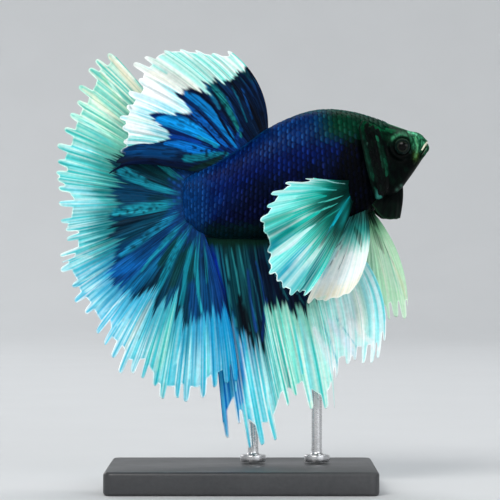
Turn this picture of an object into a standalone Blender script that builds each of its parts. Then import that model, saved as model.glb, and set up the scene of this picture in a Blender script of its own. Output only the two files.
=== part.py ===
# Male halfmoon betta, flaring, as a still life-size display model on a plain stand.
# Frame: +X is ahead of the fish, +Z up, -Y its right flank. Z = 0 is the underside
# of the stand and the origin is the middle of the whole model's footprint.
# Every size below is in millimetres; MM turns it into metres when meshes are made.
import math

import bmesh
import bpy
from mathutils import Vector

for _ob in list(bpy.data.objects):
    bpy.data.objects.remove(_ob, do_unlink=True)

MM = 0.001
GAP = 0.3            # clearance between neighbouring solids
FIN = 0.6            # thickness of a fin's solid, measured across the fish
EMBED = 1.1          # how far a fin's root starts inside the flesh before it is cut back

# ---------------------------------------------------------------- the grid of the side view
# The fish is laid out on a square grid. STEP sets how big the whole fish is: the grid's
# columns count ahead and its rows count down.
STEP = 0.172         # one step of the grid in millimetres
MID_COLUMN = 241.5   # the column over the origin
LOW_ROW, LOW_Z = 447, 7.0    # the lowest row and its height above the table, in millimetres


def laid(rows, unit):
    """Rows of two places on the grid and a size, in millimetres; unit is the size's own step."""
    return [((a - MID_COLUMN) * STEP, (LOW_ROW - b) * STEP + LOW_Z,
             (c - MID_COLUMN) * STEP, (LOW_ROW - d) * STEP + LOW_Z, size * unit)
            for a, b, c, d, size in rows]


# ---------------------------------------------------------------- the body
# Rings from nose to tail: the ridge of the back and the keel of the belly, both as
# (column, row), and the half width in millimetres. Ring 0 is the tip of the lips and the last one the
# end of the tail stalk, where the body closes.
RINGS = laid((
    (428, 147, 428, 147, 0.0),
    (424, 139.5, 426.5, 153, 1.5),    # lips
    (417, 134.5, 421, 161, 2.3),      # snout
    (404, 129, 410, 177, 3.4),        # eyes
    (388, 123, 398, 193, 4.15),
    (370, 117, 383, 205, 4.6),        # gill covers
    (350, 111.5, 360, 216, 4.85),     # shoulder
    (325, 109, 335, 228, 4.9),
    (300, 114, 305, 236, 4.75),
    (270, 127.5, 270, 239, 4.35),     # front of the dorsal fin
    (245, 145.5, 240, 238.5, 3.75),
    (220, 161, 215, 237, 3.05),
    (200, 169.5, 200, 233, 2.4),      # tail stalk
    (187, 177, 189, 223, 1.65),
    (182, 203, 182, 203, 0.0),
), 1.0)
LAST = len(RINGS) - 1
FULLNESS = 0.88      # 1 would make every ring an ellipse; less makes the flanks fuller
BODY_ROUND, BODY_LONG = 24, 24

# The fish lies in a slack S: the head turns a little to its right, the tail to its left.
BEND_X = 8.0
HEAD_TURN, HEAD_SPAN = 2.0, 24.0
TAIL_TURN, TAIL_SPAN = 4.5, 40.0

EYE_X, EYE_Z, EYE_R = 27.4, 58.5, 1.75
EYE_OUT = 2.35       # from the head's middle plane to the eyeball's centre

# ---------------------------------------------------------------- the fins
# Each fin is a fan of guide rays. A ray is its root and its tip, both as (column, row),
# and its bow in steps: how far its middle lies to the right of the straight line, looking
# along the ray from the flank.
DORSAL = laid((
    (268, 128, 229, 50, 11),
    (263, 131, 205, 52, 9),
    (257, 138, 178, 50, 8),
    (250, 143, 150, 52, 7),
    (244, 148, 132, 66, 6),
    (238, 152, 127, 93, 4),
    (231, 156, 121, 120, 3),
    (221.5, 161, 115, 148, 5),
    (209.5, 172.5, 107, 175.5, 9),
), STEP)
CAUDAL = laid((
    (201, 171.5, 113, 53, 4),
    (190.5, 179.5, 76, 90, 4),
    (185, 188, 63, 133, 2),
    (183, 196, 57, 175, 0),
    (183, 204, 60, 215, 0),
    (184, 212, 60, 262, 0),
    (187, 219, 77, 303.5, 1),
    (191, 225, 108, 352, 3),
    (195, 229, 150, 388, 3),
    (199, 232, 190, 401, 0),
    (204.5, 234, 239, 384, -6),
), STEP)
ANAL = laid((
    (205, 236, 224, 438, 0),
    (214, 238, 243, 447, 0),
    (228, 239, 262, 443, 2),
    (243, 239, 278, 436, 3),
    (258, 239, 291, 404, 2),
    (275, 239, 310, 408, 0),
    (292, 238, 330, 403, -4),
    (308, 235, 338, 376, -8),
    (322, 231, 360, 362, -14),
    (334, 228, 384, 350, -20),
), STEP)
PECTORAL = laid((
    (350, 181, 305, 178, -2),
    (350, 184, 282, 182, -2),
    (350, 187, 268, 195, -1),
    (350, 190, 260, 219, 0),
    (350, 193, 266, 250, 0),
    (350, 196, 272, 276, -1),
    (350, 198, 290, 294, -3),
    (351, 200, 308, 292, -4),
    (352, 203, 313, 282, -4),
), STEP)
PADDLE = laid((      # the near pelvic fin, spread like a paddle
    (346, 206, 314, 262, 1),
    (350, 208, 309, 283, 1),
    (354, 210, 309, 301, 0),
    (358, 211, 330, 297, -2),
    (362, 212, 348, 291, -4),
    (367, 213, 359, 278, -5),
), STEP)
SABRE = laid((       # the far pelvic fin, swung forward like a sabre
    (375, 214, 409, 305, -8),
    (373, 214, 407, 318, -6),
    (371, 215, 396, 318, -4),
    (369, 216, 389, 319, -3),
    (367, 217, 380, 300, -2),
    (366, 218, 367, 267, -1),
), STEP)

# The edge of each fin is a comb of prongs, where the web between the rays has drawn back:
# how many prongs, how far out its notches and its tips lie as a share of the ray, and how
# much their places and reach vary along the edge, in slow waves of this beat.
EDGES = {
    "dorsal": dict(count=16, notch=0.93, tip=0.99, sway=0.16, beat=2.3),
    "caudal": dict(count=36, notch=0.925, tip=1.00, sway=0.18, beat=1.9),
    "anal": dict(count=17, notch=0.89, tip=0.99, sway=0.16, beat=2.1),
    "pectoral": dict(count=10, notch=0.93, tip=0.99, sway=0.12, beat=1.7),
    "paddle": dict(count=4, notch=0.96, tip=1.03, sway=0.08, beat=2.4),
    "sabre": dict(count=6, notch=0.91, tip=1.01, sway=0.12, beat=1.6),
}
NOTCH_WAVE, TIP_WAVE = 0.025, 0.022


def comb(count, notch, tip, sway, beat):
    """A fin's edge: (notch across, notch out, tip across, tip out) for every prong, then the last notch."""
    rows = []
    for k in range(count):
        rows.append(((k + sway * math.sin(beat * k)) / count,
                     notch + NOTCH_WAVE * math.sin(2.1 * beat * k),
                     (k + 0.5 + sway * math.sin(beat * (k + 0.5))) / count,
                     tip + TIP_WAVE * math.sin(1.7 * beat * k)))
    rows.append((1.0, notch))
    return rows


# ---------------------------------------------------------------- the stand
BASE_X, BASE_Y, BASE_H, BASE_BEVEL = 46.0, 34.0, 4.0, 0.8
ROD_R, FOOT_R, FOOT_H = 0.9, 2.2, 1.1
ROD_FRONT, ROD_REAR, ROD_Y = 13.0, 2.0, 2.7
ROD_TOP = 48.5       # runs into the belly and is cut back to it


def sweep(x):
    """Sideways shift of the whole fish at this length along it."""
    if x > BEND_X:
        return -HEAD_TURN * ((x - BEND_X) / HEAD_SPAN) ** 2
    return TAIL_TURN * ((BEND_X - x) / TAIL_SPAN) ** 2


def swept(x, y, z):
    return Vector((x * MM, (y + sweep(x)) * MM, z * MM))


def spline(rows, t):
    """A smooth curve through the rows, read at t in steps of one row."""
    t = min(max(t, 0.0), len(rows) - 1.0)
    i = min(int(t), len(rows) - 2)
    f = t - i
    p0, p1 = rows[max(i - 1, 0)], rows[i]
    p2, p3 = rows[i + 1], rows[min(i + 2, len(rows) - 1)]
    return tuple(
        0.5 * (2 * b + (c - a) * f + (2 * a - 5 * b + 4 * c - d) * f * f
               + (3 * b - a - 3 * c + d) * f ** 3)
        for a, b, c, d in zip(p0, p1, p2, p3))


def ring(t):
    """Back, keel and half width of the body at ring t. Both ends round off."""
    inner = RINGS[1:LAST]
    if t < 1.0:
        end, q, tip = inner[0], 1.0 - t, RINGS[0]
    elif t > LAST - 1:
        end, q, tip = inner[-1], t - (LAST - 1), RINGS[LAST]
    else:
        return spline(inner, t - 1.0)
    f = math.sqrt(max(0.0, 1.0 - q * q))
    cx, cz = (end[0] + end[2]) / 2, (end[1] + end[3]) / 2
    nx, nz = cx + (tip[0] - cx) * q, cz + (tip[1] - cz) * q
    return (nx + (end[0] - cx) * f, nz + (end[1] - cz) * f,
            nx + (end[2] - cx) * f, nz + (end[3] - cz) * f, end[4] * f)


def body_point(t, a, grow=0.0):
    """A point of the skin at ring t and angle a, 0 on the left flank and 90 degrees on the back."""
    bx, bz, kx, kz, half = ring(t)
    hx, hz = (bx - kx) / 2, (bz - kz) / 2
    tall = math.hypot(hx, hz)
    ux, uz = (hx / tall, hz / tall) if tall > 1e-6 else (0.0, 1.0)
    s, c = math.sin(a), math.cos(a)
    side = math.copysign(abs(c) ** FULLNESS, c) * (half + grow)
    high = s * (tall + grow)
    along = grow if t < 0.2 else (-grow if t > LAST - 0.2 else 0.0)
    return ((bx + kx) / 2 + ux * high + along, side, (bz + kz) / 2 + uz * high)


def collection(name):
    c = bpy.data.collections.new(name)
    bpy.context.scene.collection.children.link(c)
    return c


PARTS = collection("betta_fish_model")
CUTTERS = collection("cutters")


def material(name, colour, roughness, metallic=0.0):
    m = bpy.data.materials.new(name)
    m.use_nodes = True
    p = m.node_tree.nodes["Principled BSDF"]
    p.inputs["Base Color"].default_value = (*colour, 1.0)
    p.inputs["Roughness"].default_value = roughness
    p.inputs["Metallic"].default_value = metallic
    return m


def place(name, bm, mat=None, smooth=True):
    """Turns a bmesh into a part, or into a cutter when it has no material."""
    bmesh.ops.recalc_face_normals(bm, faces=bm.faces)
    if not any(e.is_boundary for e in bm.edges) and bm.calc_volume(signed=True) < 0:
        bmesh.ops.reverse_faces(bm, faces=bm.faces)
    me = bpy.data.meshes.new(name)
    bm.to_mesh(me)
    bm.free()
    ob = bpy.data.objects.new(name, me)
    if mat is None:
        CUTTERS.objects.link(ob)
        ob.hide_render = True
        ob.display_type = "WIRE"
    else:
        PARTS.objects.link(ob)
        me.materials.append(mat)
        if smooth:
            me.shade_smooth()
            me.set_sharp_from_angle(angle=math.radians(40))
    return ob


def cut(ob, cutter, operation="DIFFERENCE"):
    m = ob.modifiers.new("cut_" + cutter.name, "BOOLEAN")
    m.operation = operation
    m.solver = "EXACT"
    m.object = cutter


def body_mesh(grow=0.0):
    """The whole body: a UV sphere whose poles are the lips and the end of the tail stalk."""
    bm = bmesh.new()
    bmesh.ops.create_uvsphere(bm, u_segments=BODY_ROUND, v_segments=BODY_LONG, radius=1.0)
    for v in bm.verts:
        polar = math.acos(max(-1.0, min(1.0, v.co.z)))
        t = LAST * (0.6 * polar / math.pi + 0.4 * (1 - math.cos(polar)) / 2)
        v.co = swept(*body_point(t, math.atan2(v.co.x, v.co.y), grow))
    return bm


def box(name, x, y, z, sx, sy, sz, turn=0.0):
    """A box cutter with its centre at x, y, z, turned about Y."""
    bpy.ops.mesh.primitive_cube_add(size=1.0, location=(x * MM, y * MM, z * MM),
                                    rotation=(0.0, turn, 0.0))
    ob = bpy.context.object
    ob.name = name
    ob.scale = (sx * MM, sy * MM, sz * MM)
    bpy.ops.object.transform_apply(location=False, rotation=False, scale=True)
    for c in list(ob.users_collection):
        c.objects.unlink(ob)
    CUTTERS.objects.link(ob)
    ob.hide_render = True
    ob.display_type = "WIRE"
    return ob


# ---------------------------------------------------------------- colours
HIDE = material("hide_dark_blue", (0.010, 0.022, 0.14), 0.38)
FACE = material("face_black_green", (0.012, 0.030, 0.028), 0.40)
EYE = material("eye_dark", (0.008, 0.010, 0.012), 0.08)
FIN_BLUE = material("fin_blue", (0.020, 0.14, 0.30), 0.42)
FIN_PALE = material("fin_pale", (0.62, 0.86, 0.84), 0.42)
BASE_MAT = material("stand_base_paint", (0.030, 0.030, 0.032), 0.42)
ROD_MAT = material("stand_rod_steel", (0.60, 0.60, 0.60), 0.28, 1.0)

# ---------------------------------------------------------------- head, trunk and tail stalk
SKIN = place("cut_skin", body_mesh(GAP))       # the body grown by the gap
HEAD_CUT_X, HEAD_CUT_Z = 19.95, 55.6           # middle of the cut behind the gill covers
HEAD_CUT_TILT = math.atan2(1.5, 17.9)
TAIL_CUT_X = -7.0
BIG = 60.0

off = (BIG - GAP) / 2
ax, az = math.cos(HEAD_CUT_TILT), math.sin(HEAD_CUT_TILT)
behind_head = box("cut_behind_head", HEAD_CUT_X - off * ax, 0, HEAD_CUT_Z - off * az,
                  BIG, BIG, BIG, -HEAD_CUT_TILT)
ahead_of_trunk = box("cut_ahead_of_trunk", HEAD_CUT_X + off * ax, 0, HEAD_CUT_Z + off * az,
                     BIG, BIG, BIG, -HEAD_CUT_TILT)
behind_trunk = box("cut_behind_trunk", TAIL_CUT_X - off, 0, HEAD_CUT_Z, BIG, BIG, BIG)
ahead_of_tail = box("cut_ahead_of_tail", TAIL_CUT_X + off, 0, HEAD_CUT_Z, BIG, BIG, BIG)

head = place("head", body_mesh(), FACE)
cut(head, behind_head)
trunk = place("trunk", body_mesh(), HIDE)
cut(trunk, ahead_of_trunk)
cut(trunk, behind_trunk)
stalk = place("tail_stalk", body_mesh(), HIDE)
cut(stalk, ahead_of_tail)

# The gape runs up and forward from the corner of the mouth to between the lips.
GAPE_BACK, GAPE_FRONT, GAPE_WIDE = (30.2, 56.3), (32.2, 59.6), 0.35
gx, gz = GAPE_FRONT[0] - GAPE_BACK[0], GAPE_FRONT[1] - GAPE_BACK[1]
cut(head, box("cut_gape", (GAPE_BACK[0] + GAPE_FRONT[0]) / 2 + 0.4, sweep(31.0),
              (GAPE_BACK[1] + GAPE_FRONT[1]) / 2 + 0.4,
              math.hypot(gx, gz) + 0.8, 9.0, GAPE_WIDE, -math.atan2(gz, gx)))

# ---------------------------------------------------------------- eyes in their sockets
for side, sign in (("right", -1), ("left", 1)):
    for name, r, mat in (("eye_" + side, EYE_R, EYE), ("cut_socket_" + side, EYE_R + GAP, None)):
        bm = bmesh.new()
        bmesh.ops.create_uvsphere(bm, u_segments=14, v_segments=10, radius=r * MM)
        ob = place(name, bm, mat)
        ob.rotation_euler = (math.radians(90), 0.0, 0.0)
        ob.location = swept(EYE_X, sign * EYE_OUT, EYE_Z)
        if mat is None:
            cut(head, ob)

# ---------------------------------------------------------------- gill covers
# A thin shell over the cheek, close to it in front and standing off at its rear rim.
COVER, COVER_LIFT = 0.5, 2.0
COVER_TOP, COVER_LOW = math.radians(48), math.radians(-46)


def cover_mesh(sign):
    bm = bmesh.new()
    bmesh.ops.create_grid(bm, x_segments=7, y_segments=7, size=0.5)
    for v in bm.verts:
        u, w = v.co.x + 0.5, v.co.y + 0.5          # u backwards, w downwards
        a = COVER_TOP + (COVER_LOW - COVER_TOP) * w
        rear = 5.68 - 0.12 * w - 0.34 * w * w - 0.32 * max(0.0, 0.15 - w) / 0.15
        front = 4.38 + 0.18 * (2 * w - 1) ** 2
        t = front + (rear - front) * u
        lift = GAP + COVER / 2 + 0.05 + COVER_LIFT * u ** 1.7 * math.sin(math.pi * (0.12 + 0.80 * w)) ** 0.6
        x, y, z = body_point(t, a, lift)
        v.co = swept(x, sign * abs(y), z)
    return bm


for side, sign in (("right", -1), ("left", 1)):
    ob = place("gill_cover_" + side, cover_mesh(sign), FACE)
    m = ob.modifiers.new("shell", "SOLIDIFY")
    m.thickness, m.offset = COVER * MM, 0.0
    cut(ob, SKIN)

# ---------------------------------------------------------------- gill membrane
# The black membrane that hangs under the spread gill covers and meets at the throat.
THROAT_EDGE = (      # its free edge on the left side, x, y, z from the throat backwards
    (27.1, 0.0, 46.6),
    (26.0, 2.1, 46.2),
    (23.9, 4.2, 46.5),
    (22.2, 5.5, 48.6),
)


def membrane_mesh():
    bm = bmesh.new()
    bmesh.ops.create_grid(bm, x_segments=6, y_segments=4, size=0.5)
    for v in bm.verts:
        u, w = v.co.x + 0.5, v.co.y + 0.5          # u from the throat back, w down
        x0, y0, z0 = body_point(3.95 + 1.15 * u, math.radians(-90 + 34 * u), -0.7)
        x1, y1, z1 = spline(THROAT_EDGE, 3 * u)
        bulge = 0.5 * math.sin(math.pi * w) * math.sin(math.pi * min(1.0, u * 1.2) / 2)
        v.co = swept(x0 + (x1 - x0) * w, (0.0 if u < 1e-6 else abs(y0) + (y1 - abs(y0)) * w + bulge),
                     z0 + (z1 - z0) * w)
        if u < 1e-6:
            v.co.y = sweep(x0 + (x1 - x0) * w) * MM
    return bm


def membrane_halves():
    """Both halves in one sheet: the left half and its reflection, joined down the throat."""
    bm = membrane_mesh()
    geom = bmesh.ops.duplicate(bm, geom=bm.verts[:] + bm.edges[:] + bm.faces[:])["geom"]
    copied = [g for g in geom if isinstance(g, bmesh.types.BMVert)]
    for v in copied:
        mid = sweep(v.co.x / MM) * MM
        v.co.y = 2 * mid - v.co.y
    bmesh.ops.remove_doubles(bm, verts=bm.verts, dist=0.00002)
    return bm


beard = place("gill_membrane", membrane_halves(), FACE)
m = beard.modifiers.new("sheet", "SOLIDIFY")
m.thickness, m.offset = 0.55 * MM, 0.0
cut(beard, SKIN)


# ---------------------------------------------------------------- fins
def ease(f):
    """Smooth step from 0 to 1."""
    f = min(max(f, 0.0), 1.0)
    return f * f * (3 - 2 * f)


def rise(v, power):
    return max(v, 0.0) ** power


def ray_point(guides, u, v, side_of):
    """A point of a fin: u across the fan from 0 to 1, v along the ray from root to tip.

    The last rays of the dorsal fin leave the back along it and turn out late.
    """
    rx, rz, tx, tz, bow = spline(guides, u * (len(guides) - 1))
    dx, dz = tx - rx, tz - rz
    length = math.hypot(dx, dz)
    late = ease((u - 0.8) / 0.2) if guides is DORSAL else 0.0
    arch = bow * 4 * v * (1 - v) * (1 + late * (2 * v - 1)) if v > 0 else 0.0
    return (rx + dx * v + dz / length * arch, side_of(u, v), rz + dz * v - dx / length * arch)


def ray_length(guides, u):
    rx, rz, tx, tz, _ = spline(guides, u * (len(guides) - 1))
    return math.hypot(tx - rx, tz - rz)


def fin(name, guides, edge, side_of, rows, mat, embed=EMBED, apart=0.0, thick=lambda v: FIN):
    """A fan-shaped fin with a comb of prongs along its edge.

    side_of(u, v) is the fin's sideways place and thick(v) its thickness. Prongs stand
    apart by twice that share of their width; at 0 they meet at the notches.
    """
    notches = [(row[0], row[1]) for row in edge]
    tips = [(row[2], row[3]) for row in edge[:-1]]
    lines, step = [], 3 if apart else 2
    for i, (tip, _) in enumerate(tips):
        left, right = notches[i][0], notches[i + 1][0]
        lines += [left + apart * (right - left), tip]
        if apart:
            lines.append(right - apart * (right - left))
    if apart:
        lines[0], lines[-1] = 0.0, 1.0
    else:
        lines.append(1.0)
    bm = bmesh.new()
    depth = bm.verts.layers.float.new("depth")

    def web(u):
        for (u0, v0), (u1, v1) in zip(notches, notches[1:]):
            if u <= u1:
                return v0 + (v1 - v0) * (u - u0) / (u1 - u0)
        return notches[-1][1]

    def settle(vert, u, v):
        x, y, z = ray_point(guides, u, v, side_of)
        vert[depth] = thick(v)
        vert.co = swept(x, y - vert[depth] / 2, z)

    cols, count = len(lines) - 1, len(rows) - 1
    bmesh.ops.create_grid(bm, x_segments=cols, y_segments=count, size=0.5)
    outer = {}
    for v in bm.verts:
        i, j = round((v.co.x + 0.5) * cols), round((v.co.y + 0.5) * count)
        root = -embed / ray_length(guides, lines[i])
        settle(v, lines[i], root + (web(lines[i]) - root) * rows[j])
        if j == count:
            outer[i] = v
    for i, (mid, reach) in enumerate(tips):
        base = [outer[step * i + k] for k in range(3)]
        edges = [e for e in base[1].link_edges if e.other_vert(base[1]) in base]
        new = bmesh.ops.extrude_edge_only(bm, edges=edges)["geom"]
        verts = [g for g in new if isinstance(g, bmesh.types.BMVert)]
        ends = [min(verts, key=lambda q, p=p: (q.co - p.co).length) for p in base]
        narrow = 0.55 if apart else 0.3
        for k, v in enumerate(ends):
            flank = web(lines[step * i + k])
            settle(v, mid + (lines[step * i + k] - mid) * narrow,
                   reach if k == 1 else flank + (reach - flank) * 0.9)
    sheet = bmesh.ops.extrude_face_region(bm, geom=bm.faces[:])["geom"]
    for v in sheet:
        if isinstance(v, bmesh.types.BMVert):
            v.co.y += v[depth] * MM
    ob = place(name, bm, mat)
    cut(ob, SKIN)
    return ob


EVEN = (0.0, 0.13, 0.42, 0.72, 1.0)

# The rear lobe of the dorsal fin hangs in front of the tail fin, on the right, and the
# tail fin's last rays pass in front of the anal fin's first.
fin("dorsal_fin", DORSAL, comb(**EDGES["dorsal"]),
    lambda u, v: -(0.2 + 2.9 * u ** 1.5) * rise(v, 1.2) - 0.55 * ease((u - 0.8) / 0.2)
    + 0.5 * math.sin(2 * math.pi * 2.2 * u + 0.6) * rise(v, 1.6), EVEN, FIN_BLUE)
fin("caudal_fin", CAUDAL, comb(**EDGES["caudal"]),
    lambda u, v: (1.4 - 2.4 * u) * rise(v, 1.1) + 0.3 * (1 - min(1.0, u / 0.12))
    - 0.45 * ease((u - 0.75) / 0.2)
    + 0.75 * math.sin(2 * math.pi * 3.6 * u + 0.4) * rise(v, 1.7),
    (0.0, 0.15, 0.55, 1.0), FIN_PALE, apart=0.19)
fin("anal_fin", ANAL, comb(**EDGES["anal"]),
    lambda u, v: 0.6 * (1 - min(1.0, u / 0.3))
    + 1.3 * (1 - min(1.0, u / 0.35)) ** 2 * rise(v, 1.0)
    + 0.7 * math.sin(2 * math.pi * 2.4 * u + 2.0) * rise(v, 1.6) * min(1.0, 4 * u + 0.2),
    (0.0, 0.18, 0.6, 1.0), FIN_BLUE)
for side, sign in (("right", -1), ("left", 1)):
    fin("pectoral_fin_" + side, PECTORAL, comb(**EDGES["pectoral"]),
        lambda u, v, sign=sign: sign * (3.4 + 3.0 * (1 - math.exp(-max(v, 0.0) / 0.13)) + 3.8 * v
                                        + 0.5 * math.sin(2 * math.pi * 1.6 * u) * rise(v, 1.5)),
        (0.0, 0.09, 0.2, 0.48, 1.0), FIN_PALE, embed=0.8,
        thick=lambda v: FIN * (1 + 0.7 * math.exp(-max(v, 0.0) / 0.13)))
fin("pelvic_fin_right", PADDLE, comb(**EDGES["paddle"]),
    lambda u, v: -1.7 - 3.4 * rise(v, 0.9) + 0.4 * math.sin(5 * u + 1) * rise(v, 1.5),
    EVEN, FIN_PALE)
fin("pelvic_fin_left", SABRE, comb(**EDGES["sabre"]),
    lambda u, v: 1.7 + 2.6 * rise(v, 0.9) + 0.3 * math.sin(5 * u) * rise(v, 1.5),
    EVEN, FIN_PALE)

# ---------------------------------------------------------------- the display stand
bpy.ops.mesh.primitive_cube_add(size=1.0, location=(0.0, 0.0, BASE_H * MM / 2))
base = bpy.context.object
base.name = "stand_base"
base.scale = (BASE_X * MM, BASE_Y * MM, BASE_H * MM)
bpy.ops.object.transform_apply(location=False, rotation=False, scale=True)
for c in list(base.users_collection):
    c.objects.unlink(base)
PARTS.objects.link(base)
base.data.materials.append(BASE_MAT)
m = base.modifiers.new("rounded_edges", "BEVEL")
m.width, m.segments, m.limit_method = BASE_BEVEL * MM, 3, "ANGLE"
base.data.shade_smooth()
base.data.set_sharp_from_angle(angle=math.radians(50))

# Each rod is turned in one piece with a low foot; its profile runs top to bottom.
ROD_PROFILE = (
    (0.0, ROD_TOP), (ROD_R, ROD_TOP), (ROD_R, BASE_H + GAP + FOOT_H + 0.5),
    (ROD_R + 0.25, BASE_H + GAP + FOOT_H + 0.1), (FOOT_R - 0.2, BASE_H + GAP + FOOT_H),
    (FOOT_R, BASE_H + GAP + FOOT_H - 0.2), (FOOT_R, BASE_H + GAP), (0.0, BASE_H + GAP),
)
for name, x in (("stand_rod_front", ROD_FRONT), ("stand_rod_rear", ROD_REAR)):
    me = bpy.data.meshes.new(name)
    bm = bmesh.new()
    verts = [bm.verts.new((r * MM, 0.0, z * MM)) for r, z in ROD_PROFILE]
    for a, b in zip(verts, verts[1:]):
        bm.edges.new((a, b))
    bm.to_mesh(me)
    bm.free()
    ob = bpy.data.objects.new(name, me)
    PARTS.objects.link(ob)
    me.materials.append(ROD_MAT)
    ob.location = (x * MM, ROD_Y * MM, 0.0)
    m = ob.modifiers.new("turned", "SCREW")
    m.axis, m.angle, m.steps, m.render_steps = "Z", math.radians(360), 20, 20
    m.use_merge_vertices, m.merge_threshold = True, 0.00001
    m.use_smooth_shade = True
    cut(ob, SKIN)
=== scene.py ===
# The looks of the halfmoon betta: one skin with scales over it, the eyes, the rayed
# fins and the display stand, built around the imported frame. Sizes are in millimetres
# and MM turns them into metres when a mesh is made.
import math

import bpy
import numpy as np
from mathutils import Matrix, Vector


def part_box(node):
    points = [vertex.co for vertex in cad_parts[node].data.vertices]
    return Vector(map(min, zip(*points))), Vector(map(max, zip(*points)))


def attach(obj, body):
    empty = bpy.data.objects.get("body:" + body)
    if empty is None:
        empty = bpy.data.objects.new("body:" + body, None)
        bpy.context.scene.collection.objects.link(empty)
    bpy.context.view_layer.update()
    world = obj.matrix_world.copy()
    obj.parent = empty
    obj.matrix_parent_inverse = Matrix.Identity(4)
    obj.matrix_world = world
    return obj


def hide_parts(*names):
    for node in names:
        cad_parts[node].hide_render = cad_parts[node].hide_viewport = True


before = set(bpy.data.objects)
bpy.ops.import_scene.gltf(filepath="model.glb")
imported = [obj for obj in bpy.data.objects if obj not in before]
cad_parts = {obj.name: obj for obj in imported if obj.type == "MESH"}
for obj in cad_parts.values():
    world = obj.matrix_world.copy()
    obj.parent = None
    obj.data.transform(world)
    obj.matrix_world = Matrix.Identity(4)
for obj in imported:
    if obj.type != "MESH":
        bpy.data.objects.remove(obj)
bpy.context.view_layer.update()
MM = 0.001
RIGHT, LEFT = -1, 1

# ---------------------------------------------------------------- the body, as in the frame
RINGS = np.array((
    (32.1, 58.6, 32.1, 58.6, 0.0), (31.4, 59.9, 31.8, 57.6, 1.5), (30.2, 60.7, 30.9, 56.2, 2.3),
    (27.9, 61.7, 29.0, 53.4, 3.4), (25.2, 62.7, 26.9, 50.7, 4.15), (22.1, 63.8, 24.3, 48.6, 4.6),
    (18.7, 64.7, 20.4, 46.7, 4.85), (14.4, 65.1, 16.1, 44.7, 4.9), (10.1, 64.3, 10.9, 43.3, 4.75),
    (4.9, 62.0, 4.9, 42.8, 4.35), (0.6, 58.9, -0.3, 42.9, 3.75), (-3.7, 56.2, -4.6, 43.1, 3.05),
    (-7.1, 54.7, -7.1, 43.8, 2.4), (-9.4, 53.4, -9.0, 45.5, 1.65), (-10.2, 49.0, -10.2, 49.0, 0.0)))
LAST = len(RINGS) - 1
FULLNESS = 0.88
BEND_X, HEAD_TURN, HEAD_SPAN, TAIL_TURN, TAIL_SPAN = 8.0, 2.0, 24.0, 4.5, 40.0
EYE_X, EYE_Z, EYE_R, EYE_OUT = 27.4, 58.5, 1.75, 2.35

DORSAL = ((4.6, 61.9, -2.1, 75.3, 1.9), (3.7, 61.4, -6.3, 74.9, 1.5), (2.7, 60.1, -10.9, 75.3, 1.4),
          (1.5, 59.3, -15.7, 74.9, 1.2), (0.4, 58.4, -18.8, 72.5, 1.0), (-0.6, 57.7, -19.7, 67.9, 0.7),
          (-1.8, 57.1, -20.7, 63.2, 0.5), (-3.4, 56.2, -21.8, 58.4, 0.9), (-5.5, 54.2, -23.1, 53.7, 1.5))
CAUDAL = ((-7.0, 54.4, -22.1, 74.8, 0.7), (-8.8, 53.0, -28.5, 68.4, 0.7), (-9.7, 51.5, -30.7, 61.0, 0.3),
          (-10.1, 50.2, -31.7, 53.8, 0.0), (-10.1, 48.8, -31.2, 46.9, 0.0), (-9.9, 47.4, -31.2, 38.8, 0.0),
          (-9.4, 46.2, -28.3, 31.7, 0.2), (-8.7, 45.2, -23.0, 23.3, 0.5), (-8.0, 44.5, -15.7, 17.1, 0.5),
          (-7.3, 44.0, -8.9, 14.9, 0.0), (-6.4, 43.6, -0.4, 17.8, -1.0))
ANAL = ((-6.3, 43.3, -3.0, 8.5, 0.0), (-4.7, 42.9, 0.3, 7.0, 0.0), (-2.3, 42.8, 3.5, 7.7, 0.3),
        (0.3, 42.8, 6.3, 8.9, 0.5), (2.8, 42.8, 8.5, 14.4, 0.3), (5.8, 42.8, 11.8, 13.7, 0.0),
        (8.7, 42.9, 15.2, 14.6, -0.7), (11.4, 43.5, 16.6, 19.2, -1.4), (13.8, 44.2, 20.4, 21.6, -2.4),
        (15.9, 44.7, 24.5, 23.7, -3.4))
PECTORAL = ((18.7, 52.8, 10.9, 53.3, -0.3), (18.7, 52.2, 7.0, 52.6, -0.3), (18.7, 51.7, 4.6, 50.3, -0.2),
            (18.7, 51.2, 3.2, 46.2, 0.0), (18.7, 50.7, 4.2, 40.9, 0.0), (18.7, 50.2, 5.2, 36.4, -0.2),
            (18.7, 49.8, 8.3, 33.3, -0.5), (18.8, 49.5, 11.4, 33.7, -0.7), (19.0, 49.0, 12.3, 35.4, -0.7))
PADDLE = ((18.0, 48.5, 12.5, 38.8, 0.2), (18.7, 48.1, 11.6, 35.2, 0.2), (19.3, 47.8, 11.6, 32.1, 0.0),
          (20.0, 47.6, 15.2, 32.8, -0.3), (20.7, 47.4, 18.3, 33.8, -0.7), (21.6, 47.2, 20.2, 36.1, -0.9))
SABRE = ((23.0, 47.1, 28.8, 31.4, -1.4), (22.6, 47.1, 28.5, 29.2, -1.0), (22.3, 46.9, 26.6, 29.2, -0.7),
         (21.9, 46.7, 25.4, 29.0, -0.5), (21.6, 46.6, 23.8, 32.3, -0.3), (21.4, 46.4, 21.6, 38.0, -0.2))


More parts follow.
